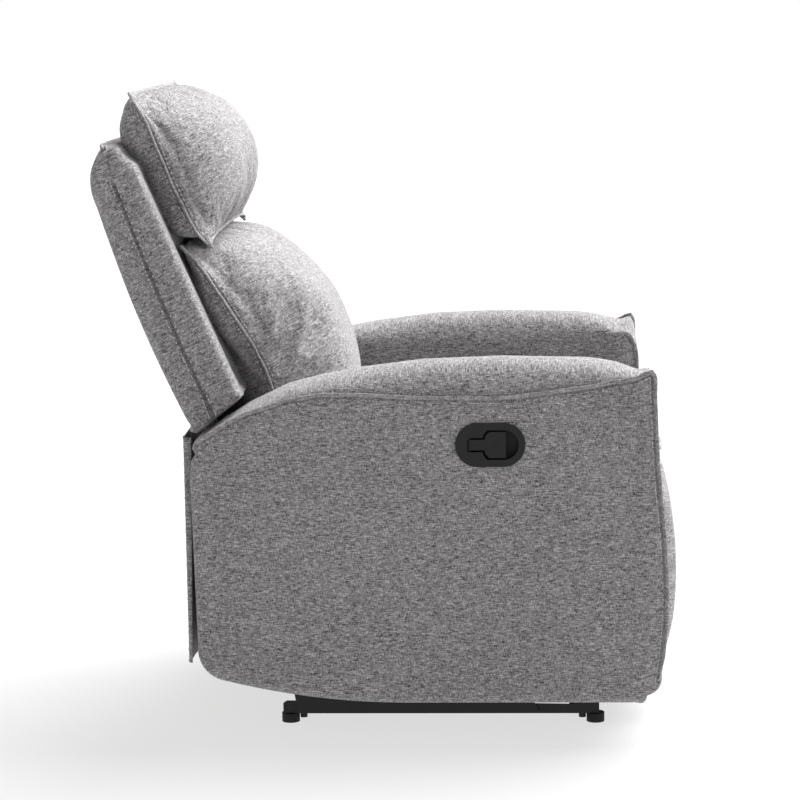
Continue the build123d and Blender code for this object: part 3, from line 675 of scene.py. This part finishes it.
def arm_relief(points, distance, index, face):
    """Drawn in at the seams, with a stitched channel beside them, and nearly flat elsewhere.

    The outer face has a seam along its top and front, the inner one along its front alone.
    """
    top_start = columns + rows - 2
    front_start = top_start + columns - 1
    first = top_start if face == 0 else front_start - 4
    seamed = smoothstep((index - first + 6) / 8) * smoothstep((2 * top_start - index) / 6)
    front = smoothstep((index - front_start + 3) / 6)
    channel = CHANNEL_DEPTH * np.exp(-(((distance - CHANNEL_INSET) / (3 * MM)) ** 2))
    drawn = -SEAM_SINK * np.exp(-distance / (9 * MM)) - channel
    rolled = -ROLL * front * np.exp(-((distance / ROLL_REACH) ** 2))
    spread = np.pad(points, ((0, 0), (1, 0)), constant_values=2 * face - 1)
    waves = 1.0 * MM * ripple(spread, 0.16, 3.0) + 0.35 * MM * ripple(spread, 0.045, 8.0)
    puckers = 0.7 * MM * ripple(spread, 16 * MM, 1.0) * np.exp(-distance / (16 * MM))
    inland = smoothstep(distance / (40 * MM))
    return seamed * (drawn + rolled + puckers) + inland * waves


def round_off(points, corner, radius, rise, amount=1.0):
    """Points with a square front corner of the outline turned into an arc. rise is 1 at the top, -1 below."""
    toward = np.column_stack([radius - points[:, 1] + corner[0], radius - rise * (corner[1] - points[:, 2])])
    inside = (toward > 0).all(axis=1)
    length = np.linalg.norm(toward, axis=1)
    shrunk = np.where(inside, 1 - toward.max(axis=1) / np.maximum(length, 1e-9), 0) * amount
    move = toward * shrunk[:, None]
    return points + np.column_stack([0 * shrunk, move[:, 0], -rise * move[:, 1]])


def soften(points):
    """An arm's points with its front swelled, and its lower front corner rounded, and its upper inner one."""
    share = np.clip((points[:, 2] - corner_fb[1]) / (corner_ft[1] - corner_fb[1]), 0, 1)
    near_front = smoothstep(1 - (points[:, 1] - corner_fb[0]) / (120 * MM))
    forward = FRONT_SWELL * np.sin(2 * pi * share) * near_front
    points = points - forward[:, None] * (0, 1, 0)
    inward = smoothstep(1 - (np.abs(points[:, 0]) - inner_x) / BROW_WIDTH)
    points = round_off(points, corner_fb, HEEL_RADIUS, -1)
    return round_off(points, corner_ft, BROW_RADIUS, 1, inward)


RIM_SHARES = [0.5 - 0.5 * cos(pi * k / 24) for k in range(1, 24)]
arms = {}
for side, sign in SIDES:
    slab = Slab(
        arm_edges, sign * (arm_high.x + 1 * MM), sign * (inner_x + 1 * MM), RIM_SHARES, arm_proud, arm_relief)
    arm = build(f"arm_cover_{side}", soften(slab.points), slab.faces, FABRIC)
    arms[side] = (slab, arm)

# The handle's cup sits in a pocket in the right arm
BEZEL_LAP = 2.6 * MM
handle_low, handle_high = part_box("handle_bezel")
handle_middle = (handle_low + handle_high) / 2
pocket_radius = (handle_high.z - handle_low.z) / 2 - BEZEL_LAP
pocket_straight = (handle_high.y - handle_low.y) / 2 - BEZEL_LAP - pocket_radius
pocket_outline = [
    (handle_middle.y + end * pocket_straight + pocket_radius * cos(angle),
     handle_middle.z + pocket_radius * sin(angle))
    for end, first in ((1, -pi / 2), (-1, pi / 2)) for angle in np.linspace(first, first + pi, 24)]
pocket_depths = (handle_low.x - 10 * MM, handle_high.x + 2 * MM)
pocket_points = [(x, y, z) for x in pocket_depths for y, z in pocket_outline]
size = len(pocket_outline)
pocket_faces = [tuple(range(size)), tuple(range(size, 2 * size))] + grid_faces(2, size, wrap=True)
pocket = build("pocket", pocket_points, pocket_faces, FABRIC, smooth=False)
cut = arms["right"][1].modifiers.new("pocket", "BOOLEAN")
cut.object, cut.operation, cut.solver = pocket, "DIFFERENCE", "EXACT"
bake(arms["right"][1])
bpy.data.objects.remove(pocket)

for side, sign in SIDES:
    slab, arm = arms[side]
    body = frame["nodes"][f"arm_top_pad_{side}"]["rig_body"]
    tree = tree_of(arm)
    welts, rows_of_stitches, seams = [], [], []
    for face, start in ((0, corner_rt), (1, corner_ft + INNER_WELT_START)):
        path, normal = slab.edge_path(start, corner_fb + WELT_END, face)
        sideways = np.sign(slab.x[face] - sum(slab.x) / 2)
        lean = np.column_stack([np.full(len(path), WELT_LEAN * sideways), normal])
        corner = np.linalg.norm(path[:, 1:] - corner_ft, axis=1)
        peak = 1 + (0.25 if face == 0 else -0.2) * np.exp(-((corner / (11 * MM)) ** 2))
        low_front = smoothstep((corner_ft[1] - path[:, 2]) / (40 * MM))
        ends = smoothstep(np.arange(len(path)) / 4) * smoothstep(np.arange(len(path))[::-1] / 9)
        shown = peak * ends * (1 - 0.3 * low_front)
        dense = resample(np.column_stack([soften(path), unit(lean), shown]), 4 * len(path))
        height = WELT_WIDTH * (0.1 + 0.9 * dense[:, 6])
        welts.append(flange(dense[:, :3], unit(dense[:, 3:6]), height, WELT_THICKNESS))
        seams.append(dense[:, :3])
        low, _ = slab.edge_path(start, corner_fb + WELT_END, face, CHANNEL_INSET)
        rows_of_stitches.append(stitch_row(*onto(tree, soften(low)), radius=0.6 * STITCH_RADIUS))
    settle(gather(f"arm_welt_{side}", welts, WELT_FABRIC), body)
    settle(gather(f"arm_stitching_{side}", rows_of_stitches, THREAD), body)
    # Painted shade along the arm's seams
    paint_seam_shade(arm, seams, 5 * MM)
    settle(arm, body)
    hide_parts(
        f"arm_outer_panel_{side}", f"arm_inner_panel_{side}", f"arm_top_pad_{side}",
        f"arm_front_pad_{side}")


# --- back
BACK_CELL = 6 * MM
BACK_EDGE = 19 * MM  # the largest rounding, along the top
WING = 45 * MM  # thickness of the padded sides that stand forward of the cushions
WING_DEPTH = 5 * MM  # how far they stand forward
SEAM_SHARE = 0.56  # of the way from the front to the rear, where the side seam runs
STITCH_GAP = 5.5 * MM  # from the side seam to the stitches each side of it
PIPING_REARWARD = 15 * MM  # how far behind the side seams' tops the piping runs
LOW_THICKNESS, LOW_EDGE = 26 * MM, 6 * MM  # the board between the arms, and its rounding
LOW_HALF_WIDTH = 248 * MM

wing_low, wing_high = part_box("back_wing_left")
back_low, back_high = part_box("back_outer_panel")
back_middle = ((wing_low.y + back_high.y) / 2, (wing_low.z + back_high.z) / 2)
back_loop = outline(["back_wing_left", "back_outer_panel"], (wing_low.x + wing_high.x) / 2, back_middle)
back_corners = [extreme(back_loop, *way) for way in ((-1, 0.6), (-1, -0.45), (1, -1.5), (1, 0.3))]
back_rounding = (BACK_EDGE, 12 * MM, 6 * MM, 16 * MM)  # top, front, bottom, rear
back_edges = quarters(back_loop, back_corners, BACK_CELL, back_rounding)
back_columns, back_rows = len(back_edges[0]), len(back_edges[2])


def back_proud(slab, inside, share):
    """Rounded all round, and recessed between the wings on the front."""
    count = len(slab.loop)
    top, front, bottom, rear = back_rounding
    runs = ((bottom, back_columns), (rear, back_rows), (top, back_columns), (front, back_rows))
    edge = blurred(np.concatenate([np.full(length - 1, radius) for radius, length in runs]), 4)
    forward = np.zeros(count)
    forward[count - back_rows + 2:] = 1
    forward = blurred(forward, 5)
    recess = WING_DEPTH * smoothstep((inside - WING + 6 * MM) / (14 * MM))
    spots = np.column_stack([np.full(count, share), slab.loop])
    uneven = 0.8 * MM * ripple(spots, 0.12, 4.0)
    return rounded(inside, BACK_EDGE) * edge / BACK_EDGE - forward * recess + uneven


def back_relief(points, distance, index, face):
    """A soft side with a seam pulled in up its middle."""
    columns_of = np.tile(np.linspace(0, 1, back_columns), back_rows)
    rise = np.repeat(np.linspace(0, 1, back_rows), back_columns)
    from_seam = (columns_of - SEAM_SHARE) * 75 * MM
    seam = np.exp(-((from_seam / (6 * MM)) ** 2))
    spread = np.pad(points, ((0, 0), (1, 0)), constant_values=2 * face - 1)
    fading = np.exp(-((1 - rise) / 0.05)) * np.exp(-abs(from_seam) / (20 * MM))
    pleats = np.sin(from_seam / (5.5 * MM)) * fading
    puffed = smoothstep(distance / (30 * MM))
    return (
        3.0 * MM * puffed - 5.0 * MM * seam + 1.8 * MM * pleats * puffed
        + 0.9 * MM * ripple(spread, 0.09, 6.0) + 0.5 * MM * ripple(spread, 0.02, 7.0) * puffed)


BACK_SHARES = [
    x / (2 * back_high.x) for x in sorted(
        {round(k * BACK_EDGE / 6, 6) for k in range(1, 7)}
        | {round(float(x), 6) for x in np.linspace(20 * MM, 2 * back_high.x - 20 * MM, 96)}
        | {round(2 * back_high.x - k * BACK_EDGE / 6, 6) for k in range(1, 7)})]
back = Slab(back_edges, -back_high.x, back_high.x, BACK_SHARES, back_proud, back_relief)
back_cover = build("back_cover", back.points, back.faces, BACK_FABRIC)

# Lower back, between the arms: a padded board that closes the frame down to the seat
def rear_of(z):
    return skin_of("back_outer_panel").ray_cast(Vector((0, 2, z)), Vector((0, -1, 0)))[0].y


low_heights = np.linspace(back_low.z + 1 * MM, wing_low.z + 25 * MM, 28)
low_rear = np.array([(rear_of(z) - LOW_EDGE * 0.3, z) for z in low_heights])
low_front = low_rear - (LOW_THICKNESS, 0)
low_bottom, low_top = (np.linspace(low_front[k], low_rear[k], 5) for k in (0, -1))


def low_proud(slab, inside, share):
    return rounded(inside, LOW_EDGE) * 0.5


def low_relief(points, distance, index, face):
    return 0 * distance


lower = Slab(
    (low_bottom, low_top, low_front, low_rear), -LOW_HALF_WIDTH, LOW_HALF_WIDTH, np.linspace(0.01, 0.99, 60),
    low_proud, low_relief)
lower_cover = build("lower_back_cover", lower.points, lower.faces, BACK_FABRIC)

back_tree = tree_of(back_cover)
stitching = []
seam_column = int(SEAM_SHARE * (back_columns - 1))
seams = []
seam_flat = curve(back.grid[::6, seam_column][:-1], 200)
for x in back.x:
    for shift in (-STITCH_GAP, 0, STITCH_GAP):
        line = np.column_stack([np.full(200, x), seam_flat[:, 0] + shift, seam_flat[:, 1]])
        spots, facing = onto(back_tree, line)
        if shift:
            stitching.append(stitch_row(spots, facing))
        else:
            seams.append(resample(spots, 600))
# Piping across the top, from one side seam to the other
crest_index = nearest(back.loop, back.grid[-1, seam_column])
crest_y, crest_z = back.loop[crest_index] + BACK_EDGE * back.normal[crest_index]
crest_y += PIPING_REARWARD
crest = [(x, crest_y, crest_z) for x in np.linspace(-back_high.x + 2 * MM, back_high.x - 2 * MM, 160)]
crest, crest_up = onto(back_tree, crest)
seams.append(crest)
# Painted shade along the back's seams and piping
paint_seam_shade(back_cover, seams, 4.5 * MM)
piping = gather("back_piping", [flange(crest, crest_up, 6.5 * MM, 4.8 * MM)], WELT_FABRIC)
for shift in (-6 * MM, 6 * MM):
    stitching.append(stitch_row(*onto(back_tree, crest + (0, shift, 0))))
back_stitching = gather("back_stitching", stitching, THREAD)
for part in (back_cover, lower_cover, piping, back_stitching):
    settle(part, "backrest")
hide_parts("back_outer_panel", "back_wing_right", "back_wing_left")


# --- cushions
VOXEL = 6 * MM
PINNED = 6 * MM  # from the seam
PRESSURE, LOOSENESS, FRAMES = 4.0, 0.03, 20
FOLD_ROOT = 12 * MM  # how far the fold reaches back into the cushion
SNUG = (20.0, 0.25)  # a panel that stays full almost to its sides
FORWARD = (0, -cos(BACK_LEAN), sin(BACK_LEAN))


def in_box(box, shares):
    """(y, z) points from their shares of the way across a box."""
    low, high = box
    return [(low.y + a * (high.y - low.y), low.z + b * (high.z - low.z)) for a, b in shares]


class Cushion:
    """A closed pillow round a side seam, with the middle section of its CAD solid.

    seam is the side seam's (y, z) points, from one end of the section to the other; half_width(y, z) is its
    |x| there; plump says how full the front and the rear panel stay towards the sides, as power, flatness.
    """

    def __init__(self, name, node, centre, seam, half_width, plump, material, rows=56, columns=72):
        loop = outline([node], 0.0, centre)
        side = curve(seam, rows)
        ends = [loop[nearest(loop, side[k])] for k in (0, -1)]
        front = stretch(loop, ends[1], ends[0], rows)[::-1]
        rear = stretch(loop, ends[0], ends[1], rows)
        width = np.array([half_width(*point) for point in side])
        across = -np.cos(np.linspace(0, pi, columns))
        points, fulls = [], [(1 - abs(across) ** power) ** flatness for power, flatness in plump]
        rim = np.mean(fulls, axis=0)
        for outer, full in zip((front, rear), fulls):
            # Both panels share the seam: the corners may stand out of the CAD section's ends
            full = np.tile(full, (rows, 1))
            full[0] = full[-1] = rim
            flat = side[:, None] + full[:, :, None] * (outer - side)[:, None]
            x = width[:, None] * across[None, :]
            points.append(np.dstack([x, flat]))
        faces = grid_faces(rows, columns) + grid_faces(rows, columns, rows * columns)
        self.obj = build(name, np.vstack([grid.reshape(-1, 3) for grid in points]), faces, material)
        # Round the whole seam: up the left side, across the top, down the right, back along the bottom
        grid = points[0]
        edges = [grid[:, -1], grid[-1, ::-1][1:], grid[::-1, 0][1:], grid[0][1:-1]]
        rise_top, rise_bottom = unit(side[-1] - side[-3]), unit(side[0] - side[2])
        ways = [(1, 0, 0), (0, *rise_top), (-1, 0, 0), (0, *rise_bottom)]
        outward = np.vstack([np.tile(way, (len(edge), 1)) for way, edge in zip(ways, edges)])
        both = resample(np.hstack([np.vstack(edges), outward]), 900, True)
        self.seam, self.outward = both[:, :3], unit(blurred(both[:, 3:], 9))
        self.corners = np.array([grid[0, -1], grid[-1, -1], grid[-1, 0], grid[0, 0]])

    def swell(self, facing, cap, shrink):
        """Remesh evenly, then inflate by cloth simulation, held at the seam.

        The panel on the side of facing starts shrunk, to swell back to its size; shrink may be a function
        of its points.
        """
        obj = self.obj
        remesh = obj.modifiers.new("even_mesh", "REMESH")
        remesh.mode, remesh.voxel_size, remesh.use_smooth_shade = "VOXEL", VOXEL, True
        bake(obj)
        start = vectors(obj.data)
        away, _ = distances(start, self.seam)
        outward = vectors(obj.data, "normal")
        share = smoothstep(away / (30 * MM)) * smoothstep(0.5 + outward @ np.array(facing))
        depth = shrink(start) if callable(shrink) else shrink
        start -= outward * (depth * share)[:, None]
        place_vertices(obj.data, start)
        group = obj.vertex_groups.new(name="pinned")
        group.add([int(k) for k in np.nonzero(away < PINNED)[0]], 1.0, "REPLACE")
        cloth = obj.modifiers.new("cloth", "CLOTH")
        settings = cloth.settings
        settings.quality, settings.mass = 4, 0.3
        settings.use_pressure, settings.uniform_pressure_force = True, PRESSURE
        settings.effector_weights.gravity = 0
        settings.vertex_group_mass = group.name
        settings.shrink_min = -LOOSENESS
        cloth.collision_settings.use_collision = False
        cloth.point_cache.frame_start, cloth.point_cache.frame_end = 1, FRAMES
        for frame_number in range(1, FRAMES + 1):
            scene.frame_set(frame_number)
        swollen = vectors(obj.evaluated_get(bpy.context.evaluated_depsgraph_get()).to_mesh())
        moved = swollen - start
        length = np.linalg.norm(moved, axis=1, keepdims=True)
        moved *= np.minimum(1, cap / np.maximum(length, 1e-9))
        obj.modifiers.remove(cloth)
        obj.vertex_groups.clear()
        scene.frame_set(1)
        place_vertices(obj.data, start + moved)
        smooth = obj.modifiers.new("fine_mesh", "SUBSURF")
        smooth.levels = smooth.render_levels = 1
        bake(obj)
        return self

    def channel(self):
        """Press a stitched channel into the cushion beside its seam."""
        points = vectors(self.obj.data)
        away, _ = distances(points, self.seam)
        sunk = 1.3 * MM * np.exp(-(((away - CHANNEL_INSET) / (3 * MM)) ** 2))
        puckers = 0.8 * MM * ripple(points, 15 * MM, 3.0) * np.exp(-away / (22 * MM))
        place_vertices(self.obj.data, points + vectors(self.obj.data, "normal") * (puckers - sunk)[:, None])
        return self

    def trim(self, width, dog_ear, body, stitched=True):
        """A fold that stands out all round the seam, peaked at its upper corners, with stitches beside it."""
        tree = tree_of(self.obj)
        seam, outward = self.seam, self.outward
        lower, upper = (np.exp(-((distances(seam, ends)[0] / (12 * MM)) ** 2))
                        for ends in (self.corners[[0, 3]], self.corners[[1, 2]]))
        height = width + dog_ear * upper - 0.85 * width * lower
        shape = flange(seam, outward, height, closed=True, root=FOLD_ROOT)
        fold = gather(self.obj.name + "_fold", [shape], WELT_FABRIC)
        settle(fold, body)
        # Painted shade along the cushion's seam
        paint_seam_shade(self.obj, [seam], 6 * MM)
        if not stitched:
            return
        rows_of_stitches = []
        for lift in (-1, 1):
            facing = np.array((0, lift * cos(BACK_LEAN), -lift * sin(BACK_LEAN)))
            start = seam + CHANNEL_INSET * unit(0.6 * facing - outward)
            spots, normals = onto(tree, start)
            rows_of_stitches.append(stitch_row(spots, normals, closed=True))
        stitches = gather(self.obj.name + "_stitching", rows_of_stitches, THREAD)
        settle(stitches, body)

    def keep(self, body, fill, *nodes):
        settle(self.obj, body)
        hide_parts(*nodes)


head_box, lumbar_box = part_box("headrest_pillow"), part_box("back_cushion")
seat_box, footrest_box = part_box("seat_cushion"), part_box("footrest_pad")


def headrest_width(y, z):
    """Drawn in a little between the corners, and narrower at the bottom."""
    share = float(np.clip((z - head_box[0].z) / (head_box[1].z - head_box[0].z), 0, 1))
    return head_box[1].x + 8 * MM - 12 * MM * sin(pi * share) - 20 * MM * (1 - share) ** 2


headrest = Cushion(
    "headrest_cushion", "headrest_pillow", in_box(head_box, [(0.55, 0.45)])[0],
    in_box(head_box, [(0.25, -0.055), (0.385, 0.065), (0.57, 0.38), (0.75, 0.76), (0.88, 0.955)]),
    headrest_width, ((3.6, 0.55), SNUG), BACK_FABRIC)
headrest.swell(FORWARD, cap=26 * MM, shrink=11 * MM).channel().keep("backrest", 0.7, "headrest_pillow")
headrest.trim(5.5 * MM, 3 * MM, "backrest")

ARM_CLEAR = 245 * MM  # half width between the arms
NARROW_BELOW, TAPER = 608 * MM, 95 * MM  # where the lumbar cushion is that narrow, and how it widens


def lumbar_width(y, z):
    wide = lumbar_box[1].x
    return ARM_CLEAR + (wide - ARM_CLEAR) * float(smoothstep((z - NARROW_BELOW) / TAPER))


lumbar = Cushion(
    "lumbar_cushion", "back_cushion", (170 * MM, 600 * MM),
    in_box(lumbar_box, [(0.32, 0.0), (0.36, 0.17), (0.48, 0.44), (0.65, 0.68), (0.85, 0.88), (0.96, 0.965)]),
    lumbar_width, ((4.2, 0.5), SNUG), BACK_FABRIC, rows=64)
lumbar.swell(FORWARD, cap=26 * MM, shrink=19 * MM).channel().keep("backrest", 0.7, "back_cushion")
lumbar.trim(5 * MM, 3 * MM, "backrest")


def seat_width(y, z):
    return seat_box[1].x - 3 * MM


seat = Cushion(
    "seat_pad", "seat_cushion", in_box(seat_box, [(0.5, 0.5)])[0],
    in_box(seat_box, [(1.0, 0.5), (0.6, 0.5), (0.25, 0.52), (0.02, 0.72)]),
    seat_width, ((9.0, 0.4), (9.0, 0.4)), FABRIC, rows=80, columns=64)
seat.swell((0, 0, 1), cap=22 * MM, shrink=5 * MM).keep("seat", 0.8, "seat_cushion")


def footrest_width(y, z):
    return footrest_box[1].x - 4 * MM


def footrest_draw(points):
    """The pad thins out towards its lower end."""
    return 14 * MM + 8 * MM * smoothstep((footrest_box[0].z + 140 * MM - points[:, 2]) / (120 * MM))


footrest = Cushion(
    "footrest_cushion", "footrest_pad", in_box(footrest_box, [(0.6, 0.5)])[0],
    in_box(footrest_box, [(0.88, 0.035), (0.86, 0.5), (0.84, 1.0)]),
    footrest_width, ((8.0, 0.4), (8.0, 0.4)), FABRIC, columns=64)
footrest.swell((0, -1, 0), cap=14 * MM, shrink=footrest_draw).keep("footrest", 0.8, "footrest_pad")
footrest.seam = blurred(footrest.seam, 9)
footrest.trim(4.5 * MM, 0, "footrest", stitched=False)


# --- rear flap
flap_low, flap_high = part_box("rear_flap")
flap_width, flap_drop = flap_high.x - flap_low.x, flap_high.z - flap_low.z
HEM = 22 * MM
FLAP_COLUMNS, FLAP_ROWS = 150, 64
FLAP_TURN = 13 * MM  # how far its side edges turn forward, towards the arms
FLAP_FOLD = 4 * MM  # radius of that turn


def flap_points():
    """The flap hangs nearly flat, with a few soft folds that deepen towards its hem."""
    points = []
    for z in np.linspace(flap_high.z, flap_low.z, FLAP_ROWS):
        fall = (flap_high.z - z) / flap_drop
        for share in -np.cos(np.linspace(0, pi, FLAP_COLUMNS)):
            x = share * (flap_high.x - 1 * MM)
            fold = 3.5 * MM * fall * sin(x * 2 * pi / 0.23 + 1.1 * sin(x * 9)) + 1.2 * MM * fall * sin(x * 61)
            inset = (1 - abs(share)) * flap_high.x
            turn = FLAP_TURN * (1 - 0.6 * fall) * (1 - float(rounded(inset, FLAP_FOLD)) / FLAP_FOLD)
            settled = float(smoothstep(inset / (40 * MM)))
            stands_off = 2.5 * MM - 1.5 * MM * fall
            points.append((x, (flap_low.y + flap_high.y) / 2 + stands_off + fold * settled - turn, z))
    return points


flap = build("rear_flap_cloth", flap_points(), grid_faces(FLAP_ROWS, FLAP_COLUMNS), FABRIC)
thick = flap.modifiers.new("cloth_thickness", "SOLIDIFY")
thick.thickness, thick.offset = 1.8 * MM, 0.0
bake(flap)
flap_tree = tree_of(flap)
hem_rows, behind = [], flap_high.y + 20 * MM
for height in (HEM, 2.5 * MM):
    across = np.linspace(flap_low.x + 3 * MM, flap_high.x - 3 * MM, 260)
    line = [(x, behind, flap_low.z + height) for x in across]
    hem_rows.append(stitch_row(*onto(flap_tree, line)))
for x in (flap_low.x + 8 * MM, flap_high.x - 8 * MM):
    line = [(x, behind, z) for z in np.linspace(flap_low.z + HEM, flap_high.z, 160)]
    hem_rows.append(stitch_row(*onto(flap_tree, line)))
hem = gather("rear_flap_hem", hem_rows, THREAD)
settle(flap, "flap")
settle(hem, "flap")
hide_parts("rear_flap")


# --- springs
SPRING_PLACES = [x * MM for x in (-180, -90, 0, 90, 180)]
ZIGZAG = ((0.8, 0.10), (1, 0.3), (1, 0.5), (0.8, 0.70))  # a turn's points: share across, share along


def drive_spring(x):
    """A close-wound extension spring with a hook at each end."""
    low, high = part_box("drive_springs")
    wire, radius = 1.3 * MM, (high.z - low.z) / 2 - 1.3 * MM
    middle, hook = (low.z + high.z) / 2, 16 * MM
    turns = int((high.y - low.y - 2 * hook) / (2.15 * wire * 1.35))
    angle = np.linspace(0, 2 * pi * turns, 14 * turns)
    y = np.linspace(low.y + hook, high.y - hook, len(angle))
    coil = np.column_stack([x + radius * np.cos(angle), y, middle + radius * np.sin(angle)])
    bend = np.linspace(0, 1.5 * pi, 14)
    hook_radius = (hook - wire) / 2
    hooks = [
        [(x, end + way * (hook_radius + wire - hook_radius * sin(a - 0.5 * pi)),
          middle + hook_radius * cos(a - 0.5 * pi)) for a in bend]
        for end, way in ((low.y, 1), (high.y, -1))]
    return curve(np.vstack([hooks[0][::-1][:-2], coil[3:-3], hooks[1][2:]]), 14 * turns + 60), wire


def seat_spring(x):
    """A sinuous spring: round wire bent to and fro across its run."""
    low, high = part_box("seat_springs")
    wire = (high.z - low.z) / 2
    reach = high.x - SPRING_PLACES[-1] - wire
    pitch, straight = 26 * MM, 13 * MM
    turns = int((high.y - low.y - 2 * straight) / pitch)
    start = low.y + (high.y - low.y - turns * pitch) / 2
    points = [(x, low.y + wire, low.z + wire)]
    for turn in range(turns):
        way = reach if turn % 2 else -reach
        y = start + turn * pitch
        points += [(x + way * s, y + pitch * t, low.z + wire) for s, t in ZIGZAG]
    points.append((x, high.y - wire, low.z + wire))
    return curve(points, 9 * len(points)), wire


spring_low, spring_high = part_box("drive_springs")
for side, sign in SIDES:
    path, wire = drive_spring(sign * (spring_high.x - (spring_high.z - spring_low.z) / 2))
    spring = tube(f"drive_spring_{side}", path, wire, SPRING_STEEL)
    settle(spring, "seat")
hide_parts("drive_springs")
for number, x in enumerate(SPRING_PLACES, 1):
    spring = tube(f"sinuous_spring_{number}", *seat_spring(x), SPRING_STEEL)
    settle(spring, "seat")
    if number == 1:
        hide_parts("seat_springs")


# --- steel, timber and plastic from the frame
# Material and edge rounding in mm by the start of the node's name; the longest that fits is used
FINISHES = {
    "handle_": (BLACK_PLASTIC, 0.6), "foot_glides": (GLIDE_PLASTIC, 1.2), "foot_bolts": (BLACK_STEEL, 0.6),
    "arm_bolts": (ZINC, 0.6), "base_pivot_pins": (ZINC, 0.6), "seat_pivot_pins": (ZINC, 0.6),
    "handle_pin": (ZINC, 0.2), "base_": (BLACK_STEEL, 0.7), "arm_frame": (PINE["Z"], 1.5),
    "rear_stretcher": (PINE["X"], 1.5), "seat_side_rail": (PINE["Y"], 1.5),
    "seat_front_rail": (PINE["X"], 1.5), "seat_rear_rail": (PINE["X"], 1.5),
    "back_cross_rails": (PINE["X"], 1.5), "footrest_board": (PINE["X"], 1.2), "back_webbing": (WEBBING, 0.3),
    "": (BLACK_STEEL, 0.7),
}
for name, node in NODES.items():
    if node.hide_render:
        continue
    start = max((key for key in FINISHES if name.startswith(key)), key=len)
    material, edge = FINISHES[start]
    node.data.materials.clear()
    node.data.materials.append(material)
    weld = node.modifiers.new("weld", "WELD")
    weld.merge_threshold = 0.01 * MM
    bevel = node.modifiers.new("edges", "BEVEL")
    bevel.width, bevel.segments, bevel.limit_method, bevel.angle_limit = edge * MM, 2, "ANGLE", radians(40)
    bevel.use_clamp_overlap = True


# --- floor, light and camera
FLOOR_REACH = 60.0
FLOOR_GLOW = 0.68  # the floor is a lit panel, so that shadows on it stay pale
ground = build(
    "floor", [(x, y, 0) for x, y in ((-1, -1), (1, -1), (1, 1), (-1, 1))], [(0, 1, 2, 3)],
    grained("pale_floor", (0.125, 0.125, 0.125), (0.14, 0.14, 0.14), 30, (0.8, 0.9), 0.0), smooth=False)
glow = ground.data.materials[0].node_tree.nodes["Principled BSDF"]
glow.inputs["Emission Color"].default_value = (1, 1, 1, 1)
glow.inputs["Emission Strength"].default_value = FLOOR_GLOW
ground.scale = (FLOOR_REACH, FLOOR_REACH, 1)

# A soft white room, brightest along the horizon
SKY, HORIZON = 0.34, 1.0
world = bpy.data.worlds.new("studio")
world.use_nodes = True
sky = world.node_tree
backdrop = sky.nodes["Background"]
backdrop.inputs["Color"].default_value = (1, 1, 1, 1)
direction, split = sky.nodes.new("ShaderNodeTexCoord"), sky.nodes.new("ShaderNodeSeparateXYZ")
fade = sky.nodes.new("ShaderNodeMapRange")
for key, value in (("From Min", 0.08), ("From Max", 0.28), ("To Min", HORIZON), ("To Max", SKY)):
    fade.inputs[key].default_value = value
sky.links.new(direction.outputs["Generated"], split.inputs[0])
sky.links.new(split.outputs["Z"], fade.inputs["Value"])
sky.links.new(fade.outputs["Result"], backdrop.inputs["Strength"])
scene.world = world
scene.view_settings.view_transform = "Standard"


def soft_sun(name, toward, angle, strength):
    data = bpy.data.lights.new(name, "SUN")
    data.angle, data.energy = radians(angle), strength
    light = bpy.data.objects.new(name, data)
    light.rotation_euler = Vector(toward).to_track_quat("-Z", "Y").to_euler()
    scene.collection.objects.link(light)


soft_sun("key", (-0.75, 0.68, -1.1), 60, 10.0)
soft_sun("fill", (0.9, 0.15, -0.35), 90, 0.3)

# Fitted to the photograph: a little above the seat, square on to the chair's right side
CAMERA_PLACE = (-4.605, -0.1983, 1.2018)
CAMERA_TURN = (81.465, 0.673, -87.66)  # degrees
LENS = 120.375  # mm
camera_data = bpy.data.cameras.new("camera")
camera_data.lens = LENS
camera = bpy.data.objects.new("camera", camera_data)
scene.collection.objects.link(camera)
camera.location = CAMERA_PLACE
camera.rotation_euler = [radians(angle) for angle in CAMERA_TURN]
scene.camera = camera
